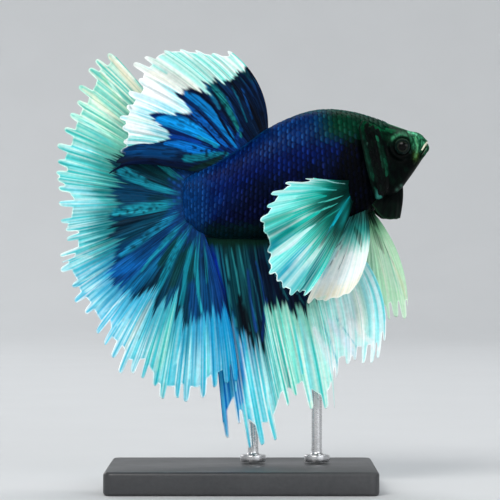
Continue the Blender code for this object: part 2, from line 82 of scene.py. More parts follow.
# The edges of the fins as measured: (notch across, notch out, tip across, tip out), then the last notch.
DORSAL_EDGE = (
    (0, 0.97, 0.0075, 0.992), (0.05, 0.915, 0.0925, 0.987), (0.1338, 0.977, 0.1462, 1.037),
    (0.2025, 0.985, 0.2288, 1.017), (0.2812, 0.98, 0.3075, 0.997),
    (0.3575, 0.952, 0.4313, 0.987), (0.435, 0.902, 0.48, 1.007), (0.5112, 0.902, 0.5463, 0.927),
    (0.58, 0.877, 0.62, 0.99), (0.65, 0.927, 0.6837, 0.98), (0.7063, 0.945, 0.74, 1.017),
    (0.7512, 0.96, 0.78, 0.975), (0.8087, 0.907, 0.845, 0.935), (0.8662, 0.897, 0.89, 0.937),
    (0.9138, 0.885, 0.9387, 0.945), (0.975, 0.885, 0.996, 0.985), (1, 0.97),
)
CAUDAL_EDGE = (
    (0, 0.985, 0.011, 1.035), (0.03, 0.977, 0.0362, 1.062), (0.0462, 0.99, 0.055, 1.05),
    (0.0713, 0.932, 0.0887, 1.017), (0.1087, 0.9, 0.1188, 0.97), (0.1288, 0.915, 0.1525, 0.99),
    (0.1688, 0.927, 0.1888, 1.01), (0.2137, 0.932, 0.23, 1.04), (0.2538, 0.967, 0.2662, 1.02),
    (0.2825, 0.94, 0.2938, 1.027), (0.3013, 1.005, 0.3088, 1.017), (0.3212, 0.96, 0.3312, 1.012),
    (0.3588, 0.892, 0.366, 1.02), (0.4062, 0.925, 0.4113, 1.01), (0.4263, 0.952, 0.432, 0.965),
    (0.4438, 0.857, 0.454, 0.95), (0.4788, 0.857, 0.4738, 1.005), (0.4988, 0.897, 0.4913, 0.997),
    (0.5038, 0.95, 0.5088, 1.025), (0.555, 0.93, 0.5625, 0.985), (0.5813, 0.947, 0.5925, 1.02),
    (0.6125, 0.92, 0.6112, 0.99), (0.6538, 0.917, 0.6625, 0.99), (0.67, 0.855, 0.6875, 0.99),
    (0.6925, 0.912, 0.7113, 1.005), (0.7225, 0.9, 0.735, 1.045), (0.7425, 0.935, 0.7562, 0.99),
    (0.7725, 0.865, 0.775, 0.975), (0.7913, 0.892, 0.808, 0.975), (0.8175, 0.95, 0.83, 1.025),
    (0.8538, 0.932, 0.8688, 0.99), (0.8775, 0.902, 0.8912, 1.005),
    (0.9163, 0.925, 0.9263, 0.997), (0.9387, 0.875, 0.9463, 0.955), (0.9575, 0.87, 0.97, 0.96),
    (0.98, 0.85, 0.9925, 0.972), (1, 0.9),
)
ANAL_EDGE = (
    (0, 0.93, 0.005, 0.992), (0.0925, 0.767, 0.1025, 0.89), (0.1288, 0.83, 0.11, 1.01),
    (0.2025, 0.907, 0.2, 1.01), (0.2863, 0.907, 0.3038, 1.007), (0.4025, 0.882, 0.43, 0.992),
    (0.4637, 0.915, 0.47, 0.952), (0.5413, 0.845, 0.5487, 1.005), (0.6188, 0.925, 0.6412, 1.015),
    (0.6837, 0.922, 0.75, 1.1), (0.7288, 0.902, 0.7675, 0.992), (0.7963, 0.89, 0.8337, 0.97),
    (0.8488, 0.927, 0.8638, 0.965), (0.8725, 0.882, 0.9138, 1.02),
    (0.9175, 0.907, 0.9475, 1.047), (0.95, 0.922, 0.98, 1.035), (0.975, 0.867, 0.995, 0.932),
    (1, 0.8),
)
PECTORAL_EDGE = (
    (0, 0.84, 0.045, 0.867), (0.09, 0.685, 0.1425, 0.922), (0.18, 0.84, 0.2475, 0.975),
    (0.2662, 0.872, 0.3237, 0.95), (0.34, 0.895, 0.3813, 1.002), (0.4088, 0.972, 0.4288, 0.982),
    (0.4688, 0.947, 0.5075, 0.99), (0.535, 0.96, 0.5537, 0.995), (0.5863, 0.982, 0.6013, 1.015),
    (0.6225, 0.96, 0.655, 0.985), (0.67, 0.96, 0.6963, 0.987), (0.705, 0.967, 0.75, 1.002),
    (0.7675, 0.94, 0.79, 0.96), (0.799, 0.94, 0.8475, 1.015), (0.9, 0.985, 0.94, 1.005),
    (1, 0.96),
)
PADDLE_EDGE = (
    (0, 1, 0.06, 1.08), (0.2, 0.83, 0.2425, 0.957), (0.33, 0.87, 0.3775, 1.025),
    (0.4875, 0.987, 0.565, 1.027), (0.63, 1.01, 0.6825, 1.027), (0.74, 1.005, 0.8137, 1.032),
    (0.87, 1.02, 0.96, 1.06), (1, 1.03),
)
SABRE_EDGE = (
    (0, 0.95, 0.045, 0.985), (0.135, 0.87, 0.235, 1.005), (0.31, 0.842, 0.3763, 0.995),
    (0.5225, 0.842, 0.5575, 1.002), (0.7, 0.93, 0.75, 1.02), (0.84, 0.97, 0.93, 1), (1, 0.97),
)

# The fins' markings, and on the dorsal's edge two painted shadow dots: colour, strength, softness and (across, out,
# half width in mm) along each stroke.
CAUDAL_INNER = (
    ((4, 60, 84), 1, .6, ((.425, .09, .52), (.479, .27, .86), (.496, .43, .86), (.503, .58, .69))),
    ((3, 50, 58), 1, .5, ((.175, .02, .52), (.184, .15, .86), (.188, .28, .69), (.188, .38, .52))),
    ((5, 56, 88), 1, .5, ((.32, .04, .34), (.328, .26, .69), (.326, .42, 1.03), (.321, .55, 1.2))),
    ((4, 46, 62), .9, .5, ((.28, 0, .52), (.331, .14, .52), (.346, .26, .52))),
    ((8, 72, 132), .8, .8, ((.41, 0, 1.38), (.474, .04, 1.2), (.504, .14, .69))),
    ((9, 88, 156), .85, .7, ((.628, .24, .52), (.616, .38, 1.03), (.608, .52, 1.2), (.598, .64, .86), (.585, .78, .34))),
    ((11, 98, 178), .75, .7, ((.63, .43, .34), (.613, .57, .52), (.598, .69, .34))),
    ((12, 104, 152), .9, .7, ((.679, .31, .52), (.667, .46, 1.03), (.659, .59, 1.03), (.645, .68, .52))),
    ((3, 58, 66), 1, .5, ((.666, .03, .26), (.684, .18, .69), (.691, .33, .52))),
    ((2, 54, 60), 1, .5, ((.795, .08, .34), (.777, .22, .77), (.78, .37, .6))),
    ((4, 66, 100), .9, .5, ((.805, .38, .52), (.787, .47, .69), (.77, .55, .52))),
    ((5, 64, 72), .9, .5, ((.863, .08, .26), (.853, .19, .52), (.865, .29, .58))),
    ((6, 66, 120), .9, .5, ((.879, .32, .69), (.893, .43, .86), (.899, .52, .69))),
    ((8, 70, 120), .9, .5, ((.94, .29, .52), (.941, .41, .69), (.943, .52, .86))),
    ((22, 130, 140), .9, .35, ((.146, .06, .28), (.154, .13, .41), (.151, .2, .48), (.15, .26, .34))),
    ((20, 128, 150), .95, .3, ((.286, .03, .34), (.278, .14, .45), (.27, .27, .62), (.256, .37, .79), (.246, .47, .89), (.247, .52, .52))),
    ((20, 132, 152), .95, .3, ((.362, .02, .43), (.388, .14, .69), (.405, .27, .86), (.409, .43, .95), (.41, .56, .69))),
    ((20, 128, 168), .95, .3, ((.486, .06, .52), (.526, .2, .6), (.547, .33, .6), (.556, .45, .6), (.562, .56, .34))),
    ((20, 140, 170), .9, .3, ((.603, .01, .34), (.625, .14, .52), (.64, .27, .43), (.646, .38, .34), (.652, .47, .21))),
    ((16, 130, 155), .95, .3, ((.701, 0, .34), (.713, .13, .52), (.726, .25, .6), (.734, .36, .6), (.738, .47, .43), (.738, .53, .26))),
    ((18, 130, 150), .95, .3, ((.886, .02, .26), (.826, .13, .43), (.829, .24, .43), (.84, .35, .38), (.841, .45, .34))),
    ((24, 140, 160), .95, .3, ((.917, .01, .17), (.891, .12, .28), (.894, .22, .34), (.909, .34, .31), (.922, .48, .21))),
    ((20, 120, 140), .8, .3, ((.961, .04, .17), (.948, .18, .21), (.943, .3, .17))),
)
CAUDAL_FLECKS = (
    (1, .3, ((.249, .27, .6), (.242, .37, .77), (.245, .48, .69))),
    (1, .3, ((.391, .2, .6), (.408, .31, .86), (.408, .45, .86), (.41, .54, .69))),
    (.8, .3, ((.517, .13, .52), (.537, .29, .52), (.556, .45, .52))),
    (.7, .3, ((.625, .14, .43), (.644, .32, .34))),
    (.7, .3, ((.716, .16, .52), (.729, .32, .52))),
    (.7, .3, ((.15, .1, .43), (.155, .23, .43))),
)
CAUDAL_OUTER = (
    ((242, 226, 192), .85, .4, ((.015, 1.01, .22), (.015, .91, .41), (.02, .8, .52), (.021, .7, .62), (.02, .65, .52))),
    ((252, 250, 240), .8, .3, ((.007, 1, .17), (.007, .9, .21), (.004, .78, .24))),
    ((196, 218, 172), .8, .5, ((.049, .96, .28), (.058, .82, .45), (.068, .7, .48), (.07, .63, .34))),
    ((118, 205, 186), .8, .5, ((.039, 1.01, .34), (.045, .91, .52), (.054, .8, .52))),
    ((240, 250, 240), .8, .4, ((.04, 1.05, .17), (.046, .94, .21), (.054, .82, .21), (.061, .72, .17))),
    ((240, 230, 200), .85, .4, ((.09, .98, .31), (.091, .89, .45), (.098, .77, .55), (.103, .66, .52), (.113, .58, .34))),
    ((248, 254, 246), .8, .3, ((.095, .98, .17), (.1, .85, .17), (.107, .72, .19), (.116, .61, .17))),
    ((70, 200, 194), .8, .5, ((.155, .9, .41), (.16, .8, .55), (.169, .71, .52), (.181, .62, .34))),
    ((140, 206, 168), .8, .6, ((.133, .77, .69), (.14, .67, .95), (.156, .57, 1.03), (.184, .53, .69))),
    ((226, 250, 236), .8, .4, ((.152, .95, .17), (.147, .82, .17), (.152, .69, .19), (.165, .58, .17))),
    ((200, 232, 240), .7, .6, ((.228, .97, .43), (.221, .87, .6), (.215, .77, .52))),
    ((60, 176, 170), .8, .5, ((.249, .91, .24), (.246, .77, .31), (.253, .64, .34))),
    ((196, 236, 240), .7, .6, ((.261, .97, .34), (.276, .82, .45), (.276, .7, .34))),
    ((150, 214, 196), .7, .6, ((.307, .69, .52), (.281, .6, .52), (.284, .55, .34))),
    ((206, 232, 248), .8, .5, ((.326, .96, .34), (.333, .8, .58), (.348, .68, .52))),
    ((20, 108, 110), .85, .5, ((.329, .72, .15), (.329, .63, .24), (.329, .53, .31))),
    ((206, 236, 248), .8, .5, ((.369, .98, .34), (.371, .85, .86), (.372, .7, .69))),
    ((30, 160, 166), .85, .5, ((.395, .8, .14), (.399, .67, .31), (.399, .57, .34))),
    ((100, 202, 190), .7, .5, ((.355, .67, .43), (.376, .59, .43))),
    ((190, 234, 244), .8, .5, ((.413, .95, .34), (.421, .8, .52), (.427, .67, .45))),
    ((26, 140, 146), .8, .4, ((.441, .77, .14), (.446, .65, .26), (.451, .54, .34))),
    ((216, 240, 244), .7, .5, ((.449, .93, .34), (.456, .8, .52), (.469, .69, .34))),
    ((24, 110, 140), .8, .4, ((.476, .8, .12), (.48, .69, .24), (.489, .58, .31))),
    ((110, 206, 180), .8, .5, ((.494, .76, .28), (.499, .64, .34), (.501, .56, .26))),
    ((236, 246, 246), .8, .5, ((.49, .96, .24), (.506, .84, .31), (.526, .74, .28))),
    ((130, 214, 196), .8, .5, ((.521, .74, .31), (.526, .64, .38), (.532, .55, .26))),
    ((120, 214, 240), .8, .6, ((.54, .89, .69), (.542, .79, .86), (.552, .68, .69))),
    ((236, 250, 255), .85, .4, ((.591, .9, .34), (.596, .81, .52), (.601, .71, .52), (.61, .63, .28))),
    ((234, 246, 250), .8, .4, ((.559, .97, .17), (.566, .87, .21), (.569, .76, .28), (.574, .66, .24))),
    ((210, 232, 246), .7, .6, ((.621, .9, .69), (.633, .79, 1.03), (.64, .69, .69))),
    ((60, 176, 220), .8, .4, ((.639, .75, .24), (.647, .64, .28), (.665, .57, .17))),
    ((150, 214, 244), .8, .6, ((.675, .84, .86), (.682, .72, 1.2), (.69, .61, .69))),
    ((240, 246, 250), .8, .4, ((.65, .85, .17), (.659, .73, .21), (.666, .62, .17))),
    ((236, 248, 252), .8, .4, ((.688, .84, .17), (.694, .71, .21), (.693, .59, .17))),
    ((60, 160, 210), .7, .4, ((.705, .73, .17), (.705, .62, .21), (.706, .53, .17))),
    ((242, 240, 222), .9, .35, ((.726, .91, .21), (.729, .8, .34), (.73, .67, .41), (.733, .55, .38))),
    ((30, 110, 120), .8, .4, ((.745, .79, .12), (.746, .67, .17), (.743, .56, .17))),
    ((40, 178, 192), .85, .5, ((.76, .81, .52), (.765, .7, .86), (.765, .59, .77), (.768, .53, .34))),
    ((170, 216, 196), .9, .4, ((.809, .86, .6), (.815, .72, .69), (.82, .59, .76), (.818, .47, .45))),
    ((120, 204, 190), .8, .5, ((.777, .87, .52), (.784, .75, .45), (.787, .64, .28))),
    ((236, 250, 255), .85, .35, ((.856, .79, .21), (.866, .67, .26), (.874, .57, .17))),
    ((90, 200, 220), .8, .5, ((.839, .89, .52), (.846, .75, .52), (.849, .62, .34))),
    ((226, 248, 255), .8, .35, ((.895, .86, .24), (.893, .7, .24), (.895, .57, .19))),
    ((226, 248, 255), .8, .35, ((.915, .85, .21), (.914, .7, .24), (.91, .56, .17))),
    ((200, 240, 250), .8, .35, ((.94, .85, .21), (.938, .72, .24), (.932, .57, .17))),
    ((60, 190, 220), .8, .5, ((.925, .91, .34), (.927, .74, .34), (.922, .58, .26))),
    ((36, 170, 220), .8, .5, ((.95, .84, .69), (.953, .71, .86), (.95, .55, .52))),
    ((150, 220, 210), .7, .5, ((.935, .86, .24), (.932, .77, .24))),
)
DORSAL_INNER = (
    ((6, 44, 100), 1, .6, ((.515, .5, 1.38), (.521, .36, 1.55), (.535, .21, 1.2), (.571, .1, .69))),
    ((12, 140, 222), 1, .22, ((.695, .68, .79), (.672, .58, 1.17), (.664, .48, 1.14), (.665, .37, .93), (.68, .25, .65), (.689, .16, .34))),
    ((34, 140, 180), .8, .5, ((.704, .33, .34), (.708, .24, .45), (.705, .16, .31))),
    ((16, 94, 186), .95, .3, ((.542, .55, .58), (.555, .46, .79), (.571, .35, .79), (.598, .24, .62), (.649, .1, .28))),
    ((20, 124, 204), 1, .25, ((.469, .57, .45), (.454, .49, .79), (.459, .38, .86), (.481, .26, .76), (.511, .15, .62), (.561, .05, .38))),
    ((4, 22, 60), 1, .3, ((.568, .53, .1), (.583, .41, .14), (.614, .29, .15), (.675, .13, .1))),
    ((4, 22, 60), 1, .3, ((.514, .57, .1), (.517, .45, .15), (.537, .33, .17), (.579, .19, .19), (.62, .07, .12))),
    ((3, 16, 46), 1, .3, ((.406, .55, .14), (.396, .47, .19), (.411, .38, .21), (.454, .25, .26), (.504, .14, .22), (.54, .04, .14))),
    ((3, 16, 40), 1, .3, ((.335, .48, .17), (.356, .37, .24), (.403, .21, .24), (.46, .08, .17))),
    ((36, 126, 132), .9, .4, ((.291, .56, .45), (.305, .44, .48), (.329, .31, .48), (.364, .19, .38), (.415, .08, .24))),
    ((30, 104, 146), .8, .4, ((.334, .55, .34), (.356, .45, .34), (.388, .34, .28))),
    ((20, 84, 150), .7, .4, ((.275, .42, .14), (.31, .27, .17), (.359, .11, .17))),
    ((16, 70, 140), .7, .4, ((.12, .53, .12), (.155, .34, .15), (.193, .16, .15))),
    ((18, 90, 120), .7, .4, ((.182, .52, .12), (.221, .32, .14), (.261, .16, .14))),
    ((10, 60, 140), .8, .4, ((.362, .13, .21), (.496, .08, .28), (.569, .01, .34))),
    ((6, 30, 84), 1, .3, ((.746, .6, .21), (.73, .46, .22), (.724, .33, .21), (.73, .19, .15))),
    ((10, 60, 150), .9, .3, ((.775, .57, .28), (.754, .43, .31), (.749, .29, .24))),
    ((14, 118, 214), 1, .3, ((.831, .56, .34), (.818, .45, .62), (.828, .33, .83), (.825, .22, .79), (.809, .13, .45))),
    ((24, 118, 140), .9, .4, ((.917, .29, .69), (.896, .18, .86), (.84, .1, .69), (.755, .04, .34))),
    ((10, 66, 124), .8, .7, ((.9, .86, .69), (.897, .73, .95), (.9, .6, 1.03), (.902, .46, .86))),
    ((3, 18, 52), .95, .5, ((1, .98, .21), (.979, .89, .41), (.969, .78, .45), (.971, .58, .55), (.961, .4, .52), (.949, .22, .52), (.906, .1, .41), (.796, .04, .28))),
    ((8, 40, 34), .8, .5, ((.978, .19, .41), (.93, .1, .45), (.843, .04, .34))),
)
DORSAL_FLECKS = (
    (1, .3, ((.846, .32, .86), (.855, .2, 1.03), (.815, .12, .86), (.753, .06, .52))),
    (.8, .3, ((.526, .44, .69), (.546, .32, .69), (.588, .19, .52))),
    (.7, .3, ((.445, .56, .41), (.39, .49, .41), (.405, .37, .41), (.446, .21, .41))),
    (.8, .3, ((.312, .52, .86), (.331, .36, .86), (.386, .18, .69))),
    (.6, .3, ((.645, .56, .52), (.625, .45, .43), (.625, .32, .43))),
)
DORSAL_OUTER = (
    ((186, 240, 226), .85, .5, ((.333, .92, .41), (.325, .78, .58), (.334, .64, .58), (.338, .57, .34))),
    ((196, 240, 228), .85, .5, ((.22, .88, .52), (.208, .77, .62), (.201, .67, .52), (.2, .59, .34))),
    ((244, 240, 226), .85, .6, ((.487, .86, .52), (.445, .75, .86), (.417, .63, 1.03), (.391, .54, .52))),
    ((176, 226, 214), .8, .5, ((.438, .95, .21), (.432, .87, .28), (.43, .79, .28))),
    ((214, 236, 248), .8, .6, ((.62, .92, .52), (.61, .81, .69), (.601, .69, .69), (.583, .57, .34))),
    ((252, 254, 252), .9, .6, ((.569, .85, .86), (.546, .71, 1.03), (.521, .59, 1.03), (.531, .53, .69))),
    ((252, 254, 253), .9, .5, ((.768, .94, .52), (.781, .83, .52), (.781, .71, .52), (.775, .6, .34))),
    ((196, 226, 240), .8, .5, ((.694, .87, .34), (.703, .76, .41), (.719, .7, .34))),
    ((150, 224, 214), .85, .5, ((.828, .88, .34), (.812, .75, .41), (.804, .64, .38), (.797, .56, .24))),
    ((96, 196, 196), .8, .4, ((.844, .89, .17), (.833, .77, .21), (.828, .65, .17))),
    ((252, 254, 252), .9, .3, ((.015, .97, .12), (.029, .8, .14), (.033, .65, .14))),
    ((206, 240, 232), .8, .5, ((.144, .87, .31), (.109, .77, .41), (.098, .66, .34))),
    ((244, 250, 244), .8, .4, ((.159, .93, .17), (.115, .84, .21), (.099, .68, .17))),
    ((226, 238, 224), .8, .5, ((.734, .94, .34), (.724, .84, .52), (.72, .74, .34))),
    # painted shadows: two grey dots at the dorsal's edge
    ((36, 44, 54), 1, .3, ((.566, .9, .17), (.575, .88, .19))),
    ((90, 96, 100), .9, .3, ((.675, .96, .17), (.686, .94, .17))),
)
ANAL_INNER = (
    ((6, 46, 34), .95, .5, ((0, .03, .69), (.199, 0, .86), (.346, 0, .86), (.491, 0, .86))),
    ((12, 38, 150), 1, .4, ((.069, .08, .41), (.068, .17, .86), (.072, .26, 1.14), (.084, .36, .69))),
    ((16, 60, 190), .8, .5, ((.089, .11, .24), (.103, .2, .34), (.092, .28, .28))),
    ((4, 60, 70), .9, .5, ((.216, .06, .86), (.221, .17, 1.03), (.216, .3, .69))),
    ((36, 128, 140), .9, .3, ((.196, .04, .14), (.186, .16, .17), (.17, .29, .15), (.188, .42, .12))),
    ((36, 128, 136), .9, .3, ((.236, .04, .12), (.247, .16, .15), (.251, .28, .14), (.288, .45, .12))),
    ((30, 116, 124), .8, .3, ((.289, .03, .1), (.305, .14, .15), (.316, .26, .15), (.343, .41, .14))),
    ((24, 92, 116), .8, .3, ((.34, .03, .1), (.361, .16, .14), (.378, .3, .14), (.381, .44, .12))),
    ((3, 8, 18), .95, .4, ((.244, .28, .28), (.26, .37, .69), (.261, .46, .69))),
    ((4, 14, 36), .9, .5, ((.448, .14, .52), (.497, .26, 1.2), (.566, .36, 1.38), (.631, .44, 1.2))),
    ((16, 60, 120), .8, .4, ((.406, .13, .14), (.425, .25, .17), (.419, .38, .17))),
    ((18, 70, 140), .8, .4, ((.339, .16, .24), (.323, .3, .34), (.33, .46, .28))),
    ((22, 84, 96), .8, .4, ((.497, .14, .12), (.524, .24, .15), (.556, .36, .14))),
    ((22, 84, 96), .7, .4, ((.56, .17, .12), (.6, .29, .14), (.631, .39, .12))),
    ((8, 40, 96), .8, .4, ((.43, .36, .26), (.395, .45, .34), (.359, .53, .24))),
)
ANAL_OUTER = (
    ((24, 150, 216), .95, .5, ((.045, .4, .86), (.08, .49, 1.12), (.101, .59, .86), (.103, .66, .69))),
    ((8, 56, 110), .95, .4, ((.159, .44, .21), (.163, .52, .31), (.155, .61, .31), (.134, .71, .24))),
    ((30, 124, 206), .95, .4, ((.211, .51, .45), (.179, .63, .58), (.131, .78, .52))),
    ((24, 100, 190), .9, .5, ((.056, .72, .52), (.045, .84, .45), (.022, .96, .28))),
    ((150, 226, 240), .8, .4, ((.141, .54, .14), (.134, .64, .15), (.114, .73, .14))),
    ((190, 240, 246), .9, .4, ((.244, .55, .28), (.216, .69, .34), (.152, .87, .34), (.118, .98, .24))),
    ((120, 214, 222), .8, .5, ((.307, .6, .41), (.266, .74, .52), (.209, .93, .41))),
    ((226, 248, 250), .85, .4, ((.352, .6, .17), (.341, .72, .21), (.307, .85, .21))),
    ((90, 196, 190), .85, .5, ((.443, .49, .41), (.43, .66, .52), (.386, .83, .45), (.343, .93, .28))),
    ((210, 240, 222), .8, .5, ((.51, .5, .34), (.506, .67, .45), (.485, .86, .34))),
    ((60, 176, 180), .8, .4, ((.484, .55, .14), (.464, .74, .17), (.43, .9, .15))),
    ((20, 80, 110), .9, .4, ((.478, .78, .14), (.453, .92, .19))),
    ((200, 232, 240), .8, .5, ((.588, .47, .34), (.598, .63, .58), (.584, .83, .58), (.564, .95, .34))),
    ((120, 206, 216), .8, .4, ((.562, .44, .17), (.565, .6, .24), (.551, .79, .24))),
    ((236, 240, 248), .85, .5, ((.65, .55, .52), (.695, .71, .69), (.74, .91, .58))),
    ((130, 196, 214), .8, .3, ((.686, .5, .12), (.736, .7, .14), (.779, .93, .14))),
    ((226, 236, 248), .85, .5, ((.755, .6, .52), (.824, .81, .69), (.866, .94, .52))),
    ((120, 186, 206), .7, .3, ((.79, .61, .1), (.841, .79, .12), (.885, .93, .12))),
    ((240, 248, 250), .8, .4, ((.856, .68, .41), (.909, .85, .52), (.953, .96, .41))),
)
PECTORAL_INNER = (
    ((5, 40, 36), 1, .5, ((.389, 0, .86), (.696, .12, 1.03), (.755, .26, .86), (.787, .37, .52))),
    ((240, 255, 252), .9, .3, ((.138, .87, .15), (.075, .79, .15), (.019, .55, .14), (.126, .09, .1))),
    ((160, 230, 222), .8, .5, ((.236, .93, .41), (.199, .71, .45), (.205, .45, .34), (.283, .18, .21))),
    ((214, 246, 238), .8, .5, ((.32, .9, .52), (.304, .75, .58), (.289, .6, .41))),
    ((60, 200, 180), .9, .5, ((.301, .64, .41), (.31, .45, .52), (.354, .28, .31))),
    ((120, 220, 206), .8, .5, ((.375, .92, .52), (.378, .76, .62), (.371, .59, .45))),
    ((210, 240, 214), .8, .5, ((.399, .94, .34), (.405, .79, .41), (.414, .64, .34))),
    ((36, 196, 176), .9, .5, ((.449, .67, .52), (.469, .52, .58), (.486, .37, .41))),
    ((150, 224, 206), .8, .5, ((.404, .37, .14), (.424, .24, .14), (.45, .1, .12))),
    ((150, 224, 206), .8, .5, ((.459, .47, .14), (.482, .32, .14), (.525, .16, .12))),
    ((110, 200, 180), .7, .5, ((.571, .41, .14), (.58, .29, .14), (.628, .15, .12))),
    ((12, 146, 152), .9, .6, ((.444, .92, .69), (.46, .79, .79), (.484, .67, .52))),
    ((20, 166, 186), .9, .6, ((.5, .93, .69), (.503, .82, .69), (.515, .68, .41))),
    ((240, 248, 246), .95, .35, ((.536, .99, .58), (.541, .86, .79), (.546, .69, .76), (.55, .55, .52), (.559, .43, .28))),
    ((230, 226, 232), .7, .5, ((.554, .91, .24), (.56, .74, .31), (.56, .6, .24))),
    ((50, 192, 214), .9, .5, ((.646, .91, .58), (.642, .79, .62), (.635, .67, .52), (.633, .57, .31))),
    ((190, 240, 246), .85, .5, ((.695, .93, .45), (.688, .8, .52), (.677, .68, .41), (.667, .55, .24))),
    ((130, 230, 240), .8, .4, ((.739, .93, .28), (.729, .81, .34), (.718, .67, .28))),
    ((14, 116, 126), .9, .4, ((.805, .94, .28), (.776, .78, .41), (.764, .63, .45), (.761, .48, .31))),
    ((56, 204, 226), .95, .3, ((.603, .01, .15), (.68, .15, .22), (.694, .29, .24), (.71, .42, .17))),
    ((4, 44, 44), .9, .4, ((.699, .3, .26), (.713, .44, .28), (.719, .54, .24))),
)
PADDLE_INNER = (
    ((10, 46, 60), 1, .5, ((.319, .06, .34), (.364, .18, .58), (.366, .29, .52))),
    ((6, 36, 72), 1, .4, ((.15, .08, .41), (.259, .17, .48), (.35, .24, .34))),
    ((120, 212, 224), .9, .5, ((.389, .38, .52), (.385, .57, .69), (.399, .76, .69))),
    ((236, 250, 250), .95, .5, ((.675, .47, .69), (.654, .66, 1.03), (.623, .84, .86))),
    ((238, 232, 206), .9, .5, ((.723, .92, .52), (.624, .97, .69), (.539, .99, .52))),
    ((186, 230, 206), .85, .5, ((.545, .96, .34), (.474, 1, .52), (.409, .98, .34))),
    ((236, 250, 248), .8, .4, ((.364, .69, .34), (.398, .83, .34))),
    ((8, 54, 72), .95, .3, ((.486, .27, .09), (.429, .37, .12), (.345, .48, .1))),
    ((8, 54, 72), .95, .3, ((.5, .35, .09), (.461, .49, .12), (.424, .64, .09))),
    ((8, 54, 72), .8, .3, ((.578, .31, .07), (.584, .47, .09), (.562, .67, .07))),
    ((10, 50, 34), .9, .5, ((.589, .17, .41), (.743, .29, .52), (.809, .43, .34))),
    ((60, 130, 100), .7, .4, ((.771, .34, .12), (.824, .5, .12))),
)
SABRE_INNER = (
    ((12, 48, 36), .9, .5, ((.554, .1, .34), (.465, .24, .52), (.394, .39, .34))),
    ((200, 238, 212), .9, .5, ((.495, .33, .52), (.394, .54, .69), (.319, .76, .69))),
    ((236, 246, 220), .8, .4, ((.633, .4, .17), (.552, .58, .21), (.511, .81, .21))),
    ((150, 214, 190), .8, .5, ((.32, .37, .24), (.281, .58, .34), (.216, .8, .34))),
    ((20, 70, 50), .8, .4, ((.318, .25, .1), (.268, .43, .12), (.212, .55, .09))),
    ((226, 220, 180), .7, .5, ((.25, .47, .24), (.181, .66, .28), (.118, .88, .24))),
)


# ---------------------------------------------------------------- arithmetic on arrays
def ease(a, b, x):
    """Smooth step from 0 at a to 1 at b."""
    f = np.clip((np.asarray(x, float) - a) / (b - a), 0.0, 1.0)
    return f * f * (3 - 2 * f)


def bump(x, centre, width):
    return np.exp(-((np.asarray(x, float) - centre) / width) ** 2)


def spline(rows, t):
    rows = np.asarray(rows, float)
    t = np.clip(np.asarray(t, float), 0.0, len(rows) - 1.0)
    i = np.minimum(t.astype(int), len(rows) - 2)
    f = (t - i)[..., None]
    p0, p1 = rows[np.maximum(i - 1, 0)], rows[i]
    p2, p3 = rows[i + 1], rows[np.minimum(i + 2, len(rows) - 1)]
    return 0.5 * (2 * p1 + (p2 - p0) * f + (2 * p0 - 5 * p1 + 4 * p2 - p3) * f * f
                  + (3 * p1 - p0 - 3 * p2 + p3) * f ** 3)


def stops(u, table):
    """Reads a table of (place, number or tuple) at u, with straight lines between."""
    at = [row[0] for row in table]
    value = np.array([row[1] for row in table], float)
    if value.ndim == 1:
        return np.interp(u, at, value)
    return np.stack([np.interp(u, at, value[:, k]) for k in range(value.shape[1])], -1)


def hashed(i, j=0.0, seed=0.0):
    v = np.sin(np.asarray(i, float) * 12.9898 + np.asarray(j, float) * 37.719 + seed * 78.233) * 43758.5453
    return v - np.floor(v)


def cloud(x, y, seed=0):
    """Smooth random field with one cell per unit, from 0 to 1."""
    x, y = np.broadcast_arrays(np.asarray(x, float), np.asarray(y, float))
    i, j = np.floor(x), np.floor(y)
    f, g = x - i, y - j
    f, g = f * f * (3 - 2 * f), g * g * (3 - 2 * g)
    a, b = hashed(i, j, seed), hashed(i + 1, j, seed)
    c, d = hashed(i, j + 1, seed), hashed(i + 1, j + 1, seed)
    return (a * (1 - f) + b * f) * (1 - g) + (c * (1 - f) + d * f) * g


def clouds(x, y, seed=0, octaves=3):
    total, size = 0.0, 0.0
    for k in range(octaves):
        total = total + cloud(x * 2 ** k, y * 2 ** k, seed + 7.3 * k) * 0.5 ** k
        size += 0.5 ** k
    return total / size


def srgb(*c):
    """Screen colours 0..255 to linear light."""
    v = np.asarray(c if len(c) > 1 else c[0], float) / 255.0
    return np.where(v <= 0.04045, v / 12.92, ((v + 0.055) / 1.055) ** 2.4)


def mix(a, b, f):
    f = np.asarray(f, float)[..., None]
    return np.asarray(a) * (1 - f) + np.asarray(b) * f


# ---------------------------------------------------------------- shapes shared with the frame
def sweep(x):
    return np.where(x > BEND_X, -HEAD_TURN * ((x - BEND_X) / HEAD_SPAN) ** 2,
                    TAIL_TURN * ((BEND_X - x) / TAIL_SPAN) ** 2)


def swept(p):
    p = np.array(p, float)
    p[..., 1] += sweep(p[..., 0])
    return p


def ring(t):
    t = np.asarray(t, float)
    at = spline(RINGS[1:LAST], np.clip(t, 1.0, LAST - 1.0) - 1.0)
    q = np.clip(np.where(t < 1.0, 1.0 - t, np.where(t > LAST - 1, t - (LAST - 1), 0.0)), 0.0, 1.0)
    f = np.sqrt(np.maximum(0.0, 1.0 - q * q))
    tip = np.where((t < 1.0)[..., None], RINGS[0], RINGS[LAST])
    cx, cz = (at[..., 0] + at[..., 2]) / 2, (at[..., 1] + at[..., 3]) / 2
    nx, nz = cx + (tip[..., 0] - cx) * q, cz + (tip[..., 1] - cz) * q
    return np.stack([nx + (at[..., 0] - cx) * f, nz + (at[..., 1] - cz) * f,
                     nx + (at[..., 2] - cx) * f, nz + (at[..., 3] - cz) * f, at[..., 4] * f], -1)


